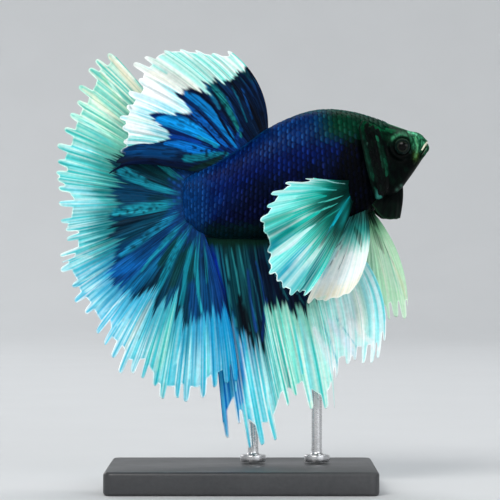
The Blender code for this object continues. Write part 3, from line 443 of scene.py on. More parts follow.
def body_point(t, a, grow=0.0):
    """A point of the skin, unswept, at ring t and angle a (0 on the left flank, 90 degrees on the back)."""
    r = ring(t)
    hx, hz = (r[..., 0] - r[..., 2]) / 2, (r[..., 1] - r[..., 3]) / 2
    tall = np.hypot(hx, hz)
    ux, uz = hx / np.maximum(tall, 1e-6), hz / np.maximum(tall, 1e-6)
    s, c = np.sin(a), np.cos(a)
    side = np.sign(c) * np.abs(c) ** FULLNESS * (r[..., 4] + grow)
    high = s * (tall + grow)
    return np.stack([(r[..., 0] + r[..., 2]) / 2 + ux * high, side,
                     (r[..., 1] + r[..., 3]) / 2 + uz * high], -1)


# ---------------------------------------------------------------- meshes
def make_mesh(name, co, faces, tint, uv=None, lines=None, rough=None):
    """An object from points in mm, arrays of faces, a colour per point and maps per corner."""
    faces = [np.asarray(f, np.int64) for f in (faces if isinstance(faces, (list, tuple)) else [faces])]
    loops = np.concatenate([f.ravel() for f in faces]).astype(np.int32)
    sizes = np.concatenate([np.full(len(f), f.shape[1]) for f in faces])
    start = np.concatenate([[0], np.cumsum(sizes)[:-1]]).astype(np.int32)
    me = bpy.data.meshes.new(name)
    me.vertices.add(len(co))
    me.vertices.foreach_set("co", (np.asarray(co) * MM).astype(np.float32).ravel())
    me.loops.add(len(loops))
    me.loops.foreach_set("vertex_index", loops)
    me.polygons.add(len(sizes))
    me.polygons.foreach_set("loop_start", start)
    me.update(calc_edges=True)
    if uv is not None:
        layer = me.uv_layers.new(name="OFBake")
        layer.uv.foreach_set("vector", np.asarray(uv, np.float32)[loops].ravel())
    if lines is not None:
        layer = me.uv_layers.new(name="along")
        layer.uv.foreach_set("vector", np.asarray(lines, np.float32)[loops].ravel())
    if uv is not None:
        me.uv_layers.active = me.uv_layers["OFBake"]
    layer = me.color_attributes.new(name="tint", type="FLOAT_COLOR", domain="POINT")
    rgba = np.ones((len(co), 4), np.float32)
    rgba[:, :3] = np.clip(tint, 0.0, 1.0)
    layer.data.foreach_set("color", rgba.ravel())
    if rough is not None:
        layer = me.attributes.new(name="rough", type="FLOAT", domain="POINT")
        layer.data.foreach_set("value", np.asarray(rough, np.float32))
    me.validate()
    me.shade_smooth()
    ob = bpy.data.objects.new(name, me)
    bpy.context.scene.collection.objects.link(ob)
    return ob


def grid_faces(rows, cols, start=0, wrap=False, flip=False):
    """Quads of a grid of points stored row by row."""
    i, j = np.meshgrid(np.arange(rows - 1), np.arange(cols if wrap else cols - 1), indexing="ij")
    k = (j + 1) % cols
    q = np.stack([i * cols + j, i * cols + k, (i + 1) * cols + k, (i + 1) * cols + j], -1).reshape(-1, 4) + start
    return q[:, ::-1] if flip else q


def closed_sheet(front, back):
    """Points and quads of a thin solid between two like grids, with its four edges closed."""
    rows, cols = front.shape[:2]
    n = rows * cols
    co = np.concatenate([front.reshape(n, 3), back.reshape(n, 3)])
    idx = np.arange(n).reshape(rows, cols)
    rim = np.concatenate([idx[0, :-1], idx[:-1, -1], idx[-1, :0:-1], idx[:0:-1, 0]])
    nxt = np.roll(rim, -1)
    return co, [grid_faces(rows, cols), grid_faces(rows, cols, n, flip=True),
                np.stack([nxt, rim, rim + n, nxt + n], -1)]


def outward(co, faces):
    """Turns all the faces round if the solid they close is inside out."""
    vol = 0.0
    for f in faces:
        p = co[f]
        for k in range(1, f.shape[1] - 1):
            vol += np.einsum("ij,ij->i", p[:, 0], np.cross(p[:, k], p[:, k + 1])).sum()
    return [f[:, ::-1] for f in faces] if vol < 0 else faces


# ---------------------------------------------------------------- materials
def nodes_of(name):
    m = bpy.data.materials.new(name)
    m.use_nodes = True
    nt = m.node_tree
    return m, nt, nt.nodes["Principled BSDF"]


def node(nt, kind, **settings):
    n = nt.nodes.new(kind)
    for k, v in settings.items():
        setattr(n, k, v)
    return n


def value(nt, operation, a, b=None):
    n = node(nt, "ShaderNodeMath", operation=operation)
    for k, v in enumerate((a, b)):
        if v is None:
            continue
        if isinstance(v, (int, float)):
            n.inputs[k].default_value = v
        else:
            nt.links.new(v, n.inputs[k])
    return n.outputs[0]


def noise(nt, vector, scale, detail=3.0, roughness=0.55):
    n = node(nt, "ShaderNodeTexNoise")
    n.inputs["Scale"].default_value = scale
    n.inputs["Detail"].default_value = detail
    n.inputs["Roughness"].default_value = roughness
    nt.links.new(vector, n.inputs["Vector"])
    return n.outputs["Fac"]


def spread(nt, fac, low, high):
    """A fac from about 0.3..0.7 opened out to low..high."""
    n = node(nt, "ShaderNodeMapRange")
    n.inputs["From Min"].default_value, n.inputs["From Max"].default_value = 0.3, 0.7
    n.inputs["To Min"].default_value, n.inputs["To Max"].default_value = low, high
    nt.links.new(fac, n.inputs["Value"])
    return n.outputs["Result"]


def scaled(nt, vector, by):
    n = node(nt, "ShaderNodeVectorMath", operation="MULTIPLY")
    nt.links.new(vector, n.inputs[0])
    n.inputs[1].default_value = by
    return n.outputs[0]


def tinted(nt, shader, fac, low, high, colour=None):
    """Base Color: the piece's own tint, darker and lighter with the noise."""
    tint = node(nt, "ShaderNodeVertexColor", layer_name="tint")
    shade = node(nt, "ShaderNodeMix", data_type="RGBA", blend_type="MULTIPLY")
    shade.inputs[0].default_value = 1.0
    nt.links.new(tint.outputs["Color"], shade.inputs[6])
    grey = node(nt, "ShaderNodeCombineColor")
    v = spread(nt, fac, low, high)
    for k in range(3):
        nt.links.new(v, grey.inputs[k])
    nt.links.new(grey.outputs[0], shade.inputs[7])
    nt.links.new(shade.outputs[2], shader.inputs["Base Color"])


def bumped(nt, shader, height, distance, strength=1.0):
    n = node(nt, "ShaderNodeBump")
    n.inputs["Strength"].default_value = strength
    n.inputs["Distance"].default_value = distance * MM
    nt.links.new(height, n.inputs["Height"])
    nt.links.new(n.outputs["Normal"], shader.inputs["Normal"])


def hide_material(name, rough=(0.30, 0.48), specular=0.5, metallic=0.0, grain=900.0, depth=0.03,
                  shade=(0.82, 1.18), coat=0.0):
    m, nt, sh = nodes_of(name)
    xyz = node(nt, "ShaderNodeTexCoord").outputs["Object"]
    fine = noise(nt, xyz, grain, 4.0)
    broad = noise(nt, xyz, grain * 0.28, 3.0)
    both = value(nt, "MULTIPLY", value(nt, "ADD", fine, broad), 0.5)
    tinted(nt, sh, both, *shade)
    nt.links.new(spread(nt, broad, *rough), sh.inputs["Roughness"])
    sh.inputs["Specular IOR Level"].default_value = specular
    sh.inputs["Metallic"].default_value = metallic
    sh.inputs["Coat Weight"].default_value = coat
    sh.inputs["Coat Roughness"].default_value = 0.12
    bumped(nt, sh, both, depth)
    return m


def fin_material(name, rough=(0.44, 0.60), depth=0.02, shade=(0.84, 1.12)):
    """Fins: fine striation along the rays over the tint, and a satin finish."""
    m, nt, sh = nodes_of(name)
    uv = node(nt, "ShaderNodeUVMap", uv_map="along").outputs["UV"]
    fibre = noise(nt, scaled(nt, uv, (7.0, 1.1, 1.0)), 1.0, 3.0, 0.6)
    xyz = node(nt, "ShaderNodeTexCoord").outputs["Object"]
    grain = noise(nt, xyz, 1500.0, 3.0)
    both = value(nt, "MULTIPLY", value(nt, "ADD", fibre, grain), 0.5)
    tinted(nt, sh, both, *shade)
    nt.links.new(spread(nt, grain, *rough), sh.inputs["Roughness"])
    sh.inputs["Specular IOR Level"].default_value = 0.04
    bumped(nt, sh, both, depth)
    return m


# ---------------------------------------------------------------- markings of the body
def near_line(x, z, points):
    """Distance to a line of (x, z, half width) in side view, as a share of its half width."""
    best = np.full(np.broadcast(x, z).shape, 99.0)
    for (ax, az, wa), (bx, bz, wb) in zip(points, points[1:]):
        dx, dz = bx - ax, bz - az
        t = np.clip(((x - ax) * dx + (z - az) * dz) / (dx * dx + dz * dz), 0.0, 1.0)
        best = np.minimum(best, np.hypot(x - ax - t * dx, z - az - t * dz) / (wa + (wb - wa) * t))
    return best


def ridge_angle(a):
    """Degrees up the side of the body: 0 on the flank, 90 along the back, 0 on the whole underside."""
    side = np.degrees(np.abs(np.arctan2(np.sin(a), np.abs(np.cos(a)))))
    return np.where(np.sin(a) > 0, side, 0.0)


def body_tint(x, z, a, jitter=0.5):
    """The hide's colour at a place of the body, the same for the skin and for the scales over it."""
    x, z, a = np.broadcast_arrays(np.asarray(x, float), np.asarray(z, float), np.asarray(a, float))
    patch = clouds(x / 3.0 + 11, z / 3.0 + a * 0.8, 21)
    c = mix(srgb(4, 8, 40), srgb(3, 12, 34), ease(0.35, 0.65, patch))
    # height over the middle of the flank, and the blue that grows towards the back and the tail
    up = z - np.interp(x, (-8, 0, 8, 16, 20), (49.0, 52.0, 55.0, 57.5, 58.0))
    c = mix(c, mix(srgb(4, 14, 56), srgb(5, 20, 66), jitter), ease(-1.6, 1.6, up))
    c = mix(c, mix(srgb(6, 34, 78), srgb(8, 46, 92), jitter), ease(1.8, 5.4, up) * ease(21.0, 12.0, x) * (0.25 + 0.75 * ease(0.5, 8.0, x)))
    c = mix(c, mix(srgb(6, 24, 74), srgb(8, 40, 92), jitter), 0.9 * ease(1.5, -5.0, x) * ease(-5.5, -1.5, up))
    c = mix(c, srgb(12, 62, 106), 0.8 * ease(-4.0, -9.0, x))
    c = mix(c, srgb(3, 6, 20), 0.6 * bump(x, 4.0, 5.0) * ease(-1.0, -4.5, up))
    # black from behind the gill plate to the throat, dark green along the nape and the base of the anal fin
    c = mix(c, srgb(1.5, 3, 6), ease(15.6, 18.4, x + 0.25 * (58.0 - z) * (z < 58)))
    top = ridge_angle(a)
    nape = ease(11.0, 17.0, x) * ease(18.0, 40.0, top)
    c = mix(c, mix(srgb(3, 34, 18), srgb(10, 72, 40), patch), np.clip(nape, 0, 1))
    # painted highlight: a pale blue-green line along the top of the back, where its ridge catches the light
    c = mix(c, mix(srgb(18, 70, 108), srgb(40, 100, 74), ease(6.0, 14.0, x)), 0.75 * ease(70.0, 84.0, top))
    low = z - np.interp(x, (-6, 0, 10, 16), (44.4, 44.5, 44.6, 46.4))
    c = mix(c, srgb(5, 30, 24), 0.9 * ease(1.6, -0.1, low) * ease(-7.5, -5.0, x) * ease(16.0, 12.0, x))
    return c * np.array((0.12, 0.60, 0.86))


PLATE_BAND = ((20.5, 59.9, 0.35), (20.35, 58.1, 0.55), (20.8, 56.2, 0.62), (21.5, 54.4, 0.62), (22.4, 52.5, 0.45), (23.0, 51.4, 0.3))
PLATE_STREAK = ((23.3, 60.0, 0.16), (23.9, 58.1, 0.24), (24.4, 56.0, 0.27), (24.8, 53.9, 0.18))


def head_tint(x, z, y, a):
    """The face: black with green lights on the crown, along the gill plate's edge and round the eye."""
    x, z, y, a = np.broadcast_arrays(x, z, y, a)
    top = ridge_angle(a)
    mott = clouds(x / 1.0, z / 1.0 + y * 0.5, 31)
    fine = clouds(x / 0.38, z / 0.6 + y, 33)
    c = mix(srgb(1.5, 4, 5), srgb(4, 16, 12), ease(0.42, 0.75, mott))
    c = mix(c, mix(srgb(4, 36, 24), srgb(10, 80, 52), ease(0.3, 0.7, mott)), 0.92 * ease(20.0, 46.0, top) * (0.45 + 0.55 * ease(26.5, 23.5, x)) + 0.3 * ease(46.0, 60.0, top))
    # painted highlight: a pale green line along the top of the head
    c = mix(c, srgb(62, 128, 94), 0.8 * ease(66.0, 82.0, top))
    # the gill plate: soft green light along its rear edge and in a streak before it
    patchy = ease(0.30, 0.62, clouds(x / 0.55, z / 0.8, 34))
    c = mix(c, mix(srgb(5, 30, 24), srgb(30, 84, 66), fine), 0.9 * patchy * ease(2.1, 0.5, near_line(x, z, PLATE_BAND) + 0.9 * (fine - 0.5)))
    c = mix(c, srgb(5, 24, 18), 0.7 * ease(2.6, 0.8, near_line(x, z, PLATE_STREAK)))
    c = mix(c, mix(srgb(10, 44, 34), srgb(30, 84, 64), fine), 0.85 * (0.35 + 0.65 * patchy) * ease(1.9, 0.5, near_line(x, z, PLATE_STREAK) + 1.0 * (fine - 0.5)))
    # round the eye: dark behind and below it, a pale arc over it
    d = np.hypot(x - EYE_X, z - EYE_Z)
    turn = np.degrees(np.arctan2(z - EYE_Z, x - EYE_X))
    c = mix(c, srgb(2, 4, 4), 0.92 * ease(4.2, 2.6, d) * ease(50.0, 10.0, turn) * (turn < 95))
    for radius, width, t0, t1, colour, k in ((2.15, 0.30, 52.0, 140.0, srgb(84, 138, 106), 0.85), (1.72, 0.14, 30.0, 160.0, srgb(4, 16, 10), 0.8)):
        span = ease(t0 - 20, t0 + 8, turn) * ease(t1 + 20, t1 - 8, turn)
        c = mix(c, colour, k * bump(d, radius, width) * span * (0.55 + 0.65 * fine))
    # snout: pale green, with folds that run down to the corner of the mouth
    pale = ease(28.3, 29.6, x) * ease(57.4, 59.6, z + 0.35 * (x - 29.0))
    c = mix(c, mix(srgb(30, 84, 60), srgb(92, 152, 118), ease(0.3, 0.7, fine)), 0.85 * pale)
    for line, colour, k in ((((28.2, 61.0, .12), (28.5, 60.2, .14)), srgb(4, 40, 24), 0.8), (((29.05, 60.3, .10), (29.35, 59.7, .12)), srgb(4, 40, 24), 0.7),
                            (((29.1, 60.3, .16), (29.5, 58.9, .18), (29.5, 57.7, .14)), srgb(6, 44, 28), 0.6),
                            (((29.7, 60.2, .15), (29.95, 58.9, .20), (29.85, 57.6, .20), (29.6, 56.8, .2)), srgb(120, 164, 124), 0.8),
                            (((30.5, 60.2, .12), (30.55, 59.0, .14), (30.3, 58.0, .12)), srgb(8, 56, 34), 0.6),
                            (((28.4, 58.8, .14), (28.7, 57.5, .2)), srgb(40, 60, 54), 0.6),
                            (((28.5, 61.1, .22), (29.3, 60.8, .28), (29.9, 60.6, .2)), srgb(130, 184, 152), 0.75)):
        c = mix(c, colour, k * ease(1.5, 0.4, near_line(x, z, line) + 0.5 * (fine - 0.5)))
    c = mix(c, srgb(104, 112, 56), 0.7 * bump(x, 29.75, 0.42) * bump(z, 56.9, 0.75))
    c = mix(c, srgb(20, 60, 42), 0.5 * ease(58.0, 56.0, z) * ease(30.2, 31.0, x))
    pores = clouds(x / 0.20 + 0.4 * y, z / 0.30, 35)
    grain = clouds(x / 0.45, z / 0.36 + y, 36)
    c = c * (0.50 + 0.85 * ease(0.30, 0.70, pores) * (0.6 + 0.6 * grain))[..., None]
    return c * np.array((0.50, 0.98, 0.84))


# ---------------------------------------------------------------- the gill plate's shape
COVER, COVER_LIFT = 0.5, 2.0
COVER_TOP, COVER_LOW = math.radians(48), math.radians(-46)


def plate_rear(w):
    return 5.68 - 0.12 * w - 0.34 * w * w - 0.32 * np.maximum(0.0, 0.15 - w) / 0.15


def plate_front(w):
    return 4.38 + 0.18 * (2 * w - 1) ** 2


def plate_lift(u, w):
    return 0.30 + COVER_LIFT * u ** 1.7 * np.sin(np.pi * (0.12 + 0.80 * w)) ** 0.6


GAPE_BACK, GAPE_FRONT = np.array((30.25, 56.35)), np.array((32.15, 59.5))


def along_segment(x, z, a, b):
    """Distance to a segment in side view, which side of it a point is on, and how far along."""
    d = b - a
    f = np.clip(((x - a[0]) * d[0] + (z - a[1]) * d[1]) / (d @ d), 0.0, 1.0)
    px, pz = x - a[0] - f * d[0], z - a[1] - f * d[1]
    side = np.sign(d[0] * (z - a[1]) - d[1] * (x - a[0]))
    return np.hypot(px, pz), side, f


def skin_relief(p, t, a):
    """How far the face's features stand off the plain form, in mm, at points p."""
    x, y, z = p[..., 0], p[..., 1], p[..., 2]
    g = np.zeros_like(x)
    flank = np.abs(np.cos(a)) ** 0.5
    # mouth: a slit with a full upper lip and a heavier lower one
    d, side, f = along_segment(x, z, GAPE_BACK, GAPE_FRONT)
    g -= 0.55 * np.exp(-(d / 0.13) ** 2) * ease(0.0, 0.25, f)
    g += 0.20 * np.exp(-((d - 0.40) / 0.24) ** 2) * ease(0.1, 0.4, f) * np.where(side > 0, 1.0, 1.25)
    g -= 0.10 * np.exp(-((d - 0.92) / 0.16) ** 2) * ease(0.1, 0.4, f)
    fold = np.hypot(x - 29.3, (z - 56.0) * 0.7)
    g -= 0.10 * np.exp(-((fold - 0.5) / 0.14) ** 2) * flank
    # nostrils: two small tubes ahead of the eye
    for nx, nz, r in ((30.05, 59.75, 0.20), (29.35, 60.35, 0.15)):
        dn = np.hypot(x - nx, z - nz)
        g += 0.10 * np.exp(-((dn - r - 0.10) / 0.10) ** 2) * flank - 0.22 * np.exp(-(dn / r) ** 2) * flank
    # folds of skin round the eye, strongest above and ahead of it
    d = np.hypot(x - EYE_X, z - EYE_Z)
    turn = np.degrees(np.arctan2(z - EYE_Z, x - EYE_X))
    fan = ease(-75.0, -30.0, turn) * ease(175.0, 130.0, turn)
    g += (0.006 + 0.014 * fan) * np.cos((d - 2.05) / 0.5 * 2 * np.pi) * ease(1.7, 1.95, d) * ease(3.0, 2.2, d)
    g += 0.12 * fan * np.exp(-((d - 2.2) / 0.5) ** 2)
    # bones of the cheek and the gill plate
    ridge = x - 24.2 - 0.05 * (58 - z)
    mask = ease(49.5, 52.0, z) * ease(62.0, 59.5, z)
    g += (0.07 * np.exp(-(ridge / 0.45) ** 2) - 0.05 * np.exp(-((ridge - 0.75) / 0.30) ** 2)) * mask * flank
    cheek = np.hypot((x - 26.3) / 1.7, (z - 55.2) / 2.4)
    g += 0.22 * ease(1.2, 0.3, cheek) * flank
    sub = z - (52.4 - 0.55 * (x - 22.0))
    g -= 0.12 * np.exp(-(sub / 0.22) ** 2) * ease(26.0, 24.6, x) * ease(20.6, 21.6, x) * flank
    # fine wrinkles and pores of the bare head skin
    bare = ease(20.0, 23.0, x)
    g += bare * 0.05 * (clouds(x / 0.55, z / 0.55 + y / 0.9, 41) - 0.5)
    return g


def skin_mesh():
    """One closed skin: snout, cheeks, standing gill plates with a real slit behind them, trunk and tail stalk."""
    cols = 224
    a = -np.pi / 2 + 2 * np.pi * np.arange(cols) / cols
    fold_angle = np.arctan2(np.sin(a), np.abs(np.cos(a)))          # the same on both flanks
    w = np.clip((COVER_TOP - fold_angle) / (COVER_TOP - COVER_LOW), 0.0, 1.0)
    deg = np.degrees(fold_angle)
    m = ease(57.0, 45.0, deg) * ease(-60.0, -45.0, deg)
    rear, front = plate_rear(w), plate_front(w)

    plain_t, fold_t, fold_g, kind = [], [], [], []

    def row(pt, ft, fg, k):
        plain_t.append(np.broadcast_to(pt, a.shape))
        fold_t.append(np.broadcast_to(ft, a.shape))
        fold_g.append(np.broadcast_to(fg, a.shape))
        kind.append(k)

    def open_lift(u):
        start = ease(0.0, 0.35, u)
        return plate_lift(np.asarray(u) * np.ones_like(w), w) * start + 0.06 * (1 - start)

    for th in np.linspace(0.05, np.pi / 2, 26)[:-1]:
        row(1 - math.cos(th), 1 - math.cos(th), 0.0, 0)
    for s in np.linspace(0, 1, 92)[:-1]:
        row(1 + (front - 1) * s, 1 + (front - 1) * s, 0.0, 0)
    for u in np.linspace(0, 1, 52):
        row(front + (rear - 0.06 - front) * u, front + (rear - front) * u, open_lift(u) + 0.20 * ease(0, 0.4, u), 1)
    steps = 46
    k = 0
    half = 0.20
    for th in np.linspace(0, np.pi, 8)[1:]:
        k += 1
        row(rear - 0.06 + 0.5 * k / steps, rear + half * 0.55 * math.sin(th), open_lift(1.0) + half * math.cos(th), 2)
    for u in np.linspace(1, 0.42, 17)[1:]:
        k += 1
        row(rear - 0.06 + 0.5 * k / steps, front + (rear - front) * u,
            np.maximum(open_lift(u) - half - 0.05, -0.35), 3)
    under = 22
    for s in np.linspace(0, 1, under + 1)[1:]:
        k += 1
        start = front + (rear - front) * 0.42
        row(rear - 0.06 + 0.5 * k / steps, start + (rear + 0.45 - start) * s, -0.45 * np.sin(np.pi * min(1.0, 0.35 + 0.65 * s)) - 0.0, 4)
    for s in np.linspace(0, 1, 118)[1:]:
        row(rear + 0.45 + (13 - rear - 0.45) * s, rear + 0.45 + (13 - rear - 0.45) * s, 0.0, 5)
    for th in np.linspace(0, np.pi / 2, 18)[1:-1]:
        row(13 + math.sin(th), 13 + math.sin(th), 0.0, 5)

    plain_t, fold_t, fold_g, kind = map(np.array, (plain_t, fold_t, fold_g, kind))
    angle = np.broadcast_to(a, plain_t.shape)
    depth = 0.12                                                    # the scales' depth over the skin
    plain = body_point(plain_t, angle, -depth)
    folded = body_point(fold_t, angle, fold_g - depth)
    p = plain * (1 - m)[None, :, None] + folded * m[None, :, None]
    t = plain_t * (1 - m) + fold_t * m

    # features: along the form's own outward direction
    outer = np.isin(kind, (0, 1))[:, None] | (t > 6.3)
    lift = np.where(outer, skin_relief(p, t, angle), 0.0)
    lift *= ease(0.0, 0.5, t)
    wide = np.stack([np.zeros_like(t), np.cos(angle), np.sin(angle)], -1)
    snout = ease(2.6, 0.4, t)[..., None]
    wide = wide * (1 - 0.75 * snout) + np.array((0.72, 0.0, 0.0)) * snout
    p = p + wide * lift[..., None]

    # the snout is full on top and steps down to the lip
    x, z = p[..., 0], p[..., 2]
    p[..., 2] += 0.46 * bump(x, 30.7, 1.5) * ease(58.0, 60.0, z) * (t < 3.2) * ease(31.9, 31.2, x)

    # the socket: the skin dips behind the eyeball and meets it in a soft rim
    d = np.hypot(p[..., 0] - EYE_X, p[..., 2] - EYE_Z)
    on = (t < 4.3) & (np.abs(p[..., 1]) > 1.2)
    ball = EYE_OUT + np.sqrt(np.maximum(EYE_R ** 2 - 1.46 ** 2, 0.0))
    ay = np.abs(p[..., 1])
    rim = ball + 0.05 + 0.10 * np.exp(-((d - 1.78) / 0.18) ** 2)
    well = ease(2.7, 1.75, d)
    target = np.where(d > 1.46, rim, rim - (1.46 - d) * 2.2)
    ay = np.where(on, ay * (1 - well) + np.maximum(target, 1.6) * well, ay)
    p[..., 1] = np.sign(p[..., 1]) * ay

    # a low fleshy ridge along the base of the dorsal and anal fins
    x, z = p[..., 0], p[..., 2]
    up = np.sin(angle) > 0
    span = np.where(up, ease(5.6, 3.6, x) * ease(-6.5, -3.5, x), ease(17.0, 14.5, x) * ease(-7.6, -5.6, x))
    near = np.exp(-(p[..., 1] / 0.75) ** 2)
    p[..., 2] += np.where(up, 0.30, -0.30) * span * near * (np.abs(np.sin(angle)) > 0.8)

    # colour
    x, y, z = p[..., 0], p[..., 1], p[..., 2]
    c = mix(body_tint(x, z, angle), head_tint(x, z, y, angle), ease(19.6, 21.4, x))
    # painted shade: the gill plate's underside and the body wall in the slit behind it are made near-black
    dark = srgb(1, 2, 3)
    rows_kind = np.broadcast_to(kind[:, None], t.shape)
    inner = np.where(np.isin(rows_kind, (3, 4)), 1.0, 0.0) * m
    c = mix(c, dark, 0.95 * inner)
    rimline = np.where(rows_kind == 1, ease(rear - 0.30, rear - 0.03, t), 0.0) * m
    c = mix(c, srgb(10, 40, 31), 0.45 * rimline * ease(51.5, 54.0, z) * ease(60.5, 58.0, z))
    # painted shade along the gill plate's turned-under rear edge
    c = mix(c, srgb(4, 14, 11), 0.8 * np.where(rows_kind == 2, 1.0, 0.0) * m)
    dl, side, f = along_segment(x, z, GAPE_BACK, GAPE_FRONT)
    # the cream upper lip with a painted highlight along its edge, and a fainter painted highlight streak below it
    c = mix(c, srgb(236, 232, 206), 0.95 * ease(1.25, 0.5, near_line(x, z, ((31.75, 59.25, 0.20), (31.3, 58.75, 0.20), (30.8, 58.0, 0.12)))) * (t < 3))
    c = mix(c, srgb(170, 190, 160), 0.7 * ease(1.3, 0.4, near_line(x, z, ((31.5, 58.2, 0.09), (30.8, 57.15, 0.07)))) * (t < 3))
    lower = np.exp(-((dl - 0.42) / 0.24) ** 2) * ease(0.2, 0.6, f) * (side < 0)
    c = mix(c, srgb(20, 44, 34), 0.6 * lower * (t < 3))
    # painted shade: the mouth slit is made near-black
    c = mix(c, srgb(2, 3, 3), np.exp(-(dl / 0.13) ** 2) * (t < 3.2) * ease(0.0, 0.15, f))
    mark = np.exp(-(np.maximum(np.abs(x - 23.4) / 0.55, np.abs(z - 50.3) / 0.72)) ** 4)
    c = mix(c, srgb(56, 138, 126), 0.9 * mark * (0.6 + 0.6 * clouds(x / 0.5, z / 0.5, 35)))
    for sx, sz, r in ((26.6, 51.2, 0.30), (27.0, 50.3, 0.20), (27.3, 51.9, 0.25), (23.0, 59.8, 0.25), (21.4, 58.9, 0.2)):
        c = mix(c, srgb(60, 100, 86), 0.7 * np.exp(-(((x - sx) ** 2 + (z - sz) ** 2) / r ** 2)))

    rows = len(kind)
    uv = np.stack([0.02 + 0.96 * np.broadcast_to(np.linspace(0, 1, rows)[:, None], t.shape),
                   np.broadcast_to((np.arange(cols) / cols)[None], t.shape)], -1)
    # the seam runs down the belly, so its column is repeated for the map
    p = np.concatenate([p, p[:, :1]], 1)
    c = np.concatenate([c, c[:, :1]], 1)
    uv = np.concatenate([uv, np.stack([uv[:, 0, 0], np.ones(rows)], -1)[:, None]], 1)
    uv[..., 1] = 0.01 + 0.98 * uv[..., 1]
    return p, c, uv, t


BODY_LENGTH = None


def body_uv(t, a):
    """The skin's own unwrap, for the roots of the scales: along the body and round it from the belly."""
    return np.stack([0.02 + 0.96 * np.asarray(t) / LAST, 0.01 + 0.98 * (((np.asarray(a) + np.pi / 2) / (2 * np.pi)) % 1.0)], -1)


# ---------------------------------------------------------------- the throat's black membrane
THROAT_EDGE = ((27.15, 0.0, 46.35), (26.0, 2.1, 46.15), (23.9, 4.2, 46.5), (22.2, 5.5, 48.6))


def beard_mesh():
    """Both halves of the branchiostegal membrane in one pleated sheet from gill plate to gill plate."""
    us = np.linspace(-1, 1, 129)
    ws = np.linspace(0, 1, 44)
    u, w = np.meshgrid(us, ws)
    k = np.abs(u)
    root = body_point(3.72 + 1.38 * k, np.radians(-90 + 34 * k), -0.7)
    edge = spline(THROAT_EDGE, 3 * k)
    # the free edge is softly scalloped between the rays that stiffen it
    lines = 5.0
    x0, y0, z0 = root[..., 0], np.abs(root[..., 1]), root[..., 2]
    bulge = 0.5 * np.sin(np.pi * w) * np.sin(np.pi * np.minimum(1.0, k * 1.2) / 2)
    pleat = 0.03 * np.cos(2 * np.pi * lines * k) * ease(0.0, 0.35, w) * ease(0.0, 0.12, k)
    scal = 0.015 * (0.5 - 0.5 * np.cos(2 * np.pi * lines * k)) * w ** 3
    y = (y0 + (edge[..., 1] - y0) * w + bulge * ease(0, 0.05, k)) * ease(0.0, 0.02, k)
    ahead = 0.25 * np.sin(np.pi * w ** 0.8) * ease(0.5, 0.0, k)
    p = np.stack([x0 + (edge[..., 0] - x0) * (w - scal * 0.3) + ahead, np.sign(u) * y,
                  z0 + (edge[..., 2] - z0) * (w - scal)], -1)
    du, dw = np.gradient(p, axis=1), np.gradient(p, axis=0)
    n = np.cross(du, dw)
    n /= np.maximum(np.linalg.norm(n, axis=-1, keepdims=True), 1e-9)
    thick = (0.20 - 0.12 * w)[..., None]
    p = p + n * pleat[..., None]
    front, back = p + n * thick, p - n * thick
    co, faces = closed_sheet(swept(front), swept(back))
    mott = clouds(p[..., 0] / 1.2, p[..., 2] / 1.2 + u, 51)
    c = mix(srgb(2, 5, 5), srgb(7, 20, 14), ease(0.4, 0.8, mott) * 0.7)
    c = mix(c, srgb(10, 34, 22), 0.3 * (0.5 + 0.5 * np.cos(2 * np.pi * lines * k)) * ease(0.3, 0.9, w))
    c = mix(c, srgb(24, 60, 38), 0.6 * ease(0.93, 1.0, w))
    tint = np.concatenate([c.reshape(-1, 3), c.reshape(-1, 3)])
    return co, outward(co, faces), tint


def build_skin(mat):
    p, c, uv, t = skin_mesh()
    rows, cols = p.shape[:2]
    co = swept(p).reshape(-1, 3)
    faces = [grid_faces(rows, cols)]
    tint = c.reshape(-1, 3)
    maps = uv.reshape(-1, 2)
    # close the snout and the end of the tail stalk with small fans
    ends = []
    for k, (r, q) in enumerate(((0, 0.02), (rows - 1, 0.98))):
        centre = len(co)
        co = np.concatenate([co, co[r * cols:(r + 1) * cols - 1].mean(0, keepdims=True)])
        tint = np.concatenate([tint, tint[r * cols:r * cols + 1]])
        maps = np.concatenate([maps, [[0.01 if k == 0 else 0.99, 0.5]]])
        j = np.arange(cols - 1)
        fan = np.stack([np.full(cols - 1, centre), r * cols + j + 1, r * cols + j], -1)
        ends.append(fan if k == 0 else fan[:, ::-1])
    faces += ends
    faces = outward(co, faces)
    bco, bfaces, btint = beard_mesh()
    n = len(co)
    co = np.concatenate([co, bco])
    tint = np.concatenate([tint, btint])
    # the membrane's own corner of the map, beside the gill slit's dark rows
    box = bco[:, [1, 2]]
    box = (box - box.min(0)) / np.ptp(box, axis=0)
    side = np.repeat([0.0, 1.0], len(bco) // 2)
    maps = np.concatenate([maps, np.stack([0.30 + 0.05 * box[:, 0], 0.02 + 0.05 * box[:, 1] + 0.05 * side], -1)])
    ob = make_mesh("skin", co, faces + [f + n for f in bfaces], tint, uv=maps)
    weld_seam(ob, cols, rows)
    ob.data.materials.append(mat)
    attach(ob, "root")
    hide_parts("head", "trunk", "tail_stalk", "gill_cover_right", "gill_cover_left", "gill_membrane")
    return ob


def weld_seam(ob, cols, rows):
    """Joins the doubled column down the belly, so the skin is one closed surface."""
    import bmesh
    bm = bmesh.new()
    bm.from_mesh(ob.data)
    bm.verts.ensure_lookup_table()
    first = [bm.verts[r * cols] for r in range(rows)]
    last = [bm.verts[r * cols + cols - 1] for r in range(rows)]
    bmesh.ops.weld_verts(bm, targetmap=dict(zip(last, first)))
    bm.to_mesh(ob.data)
    bm.free()
    ob.data.shade_smooth()


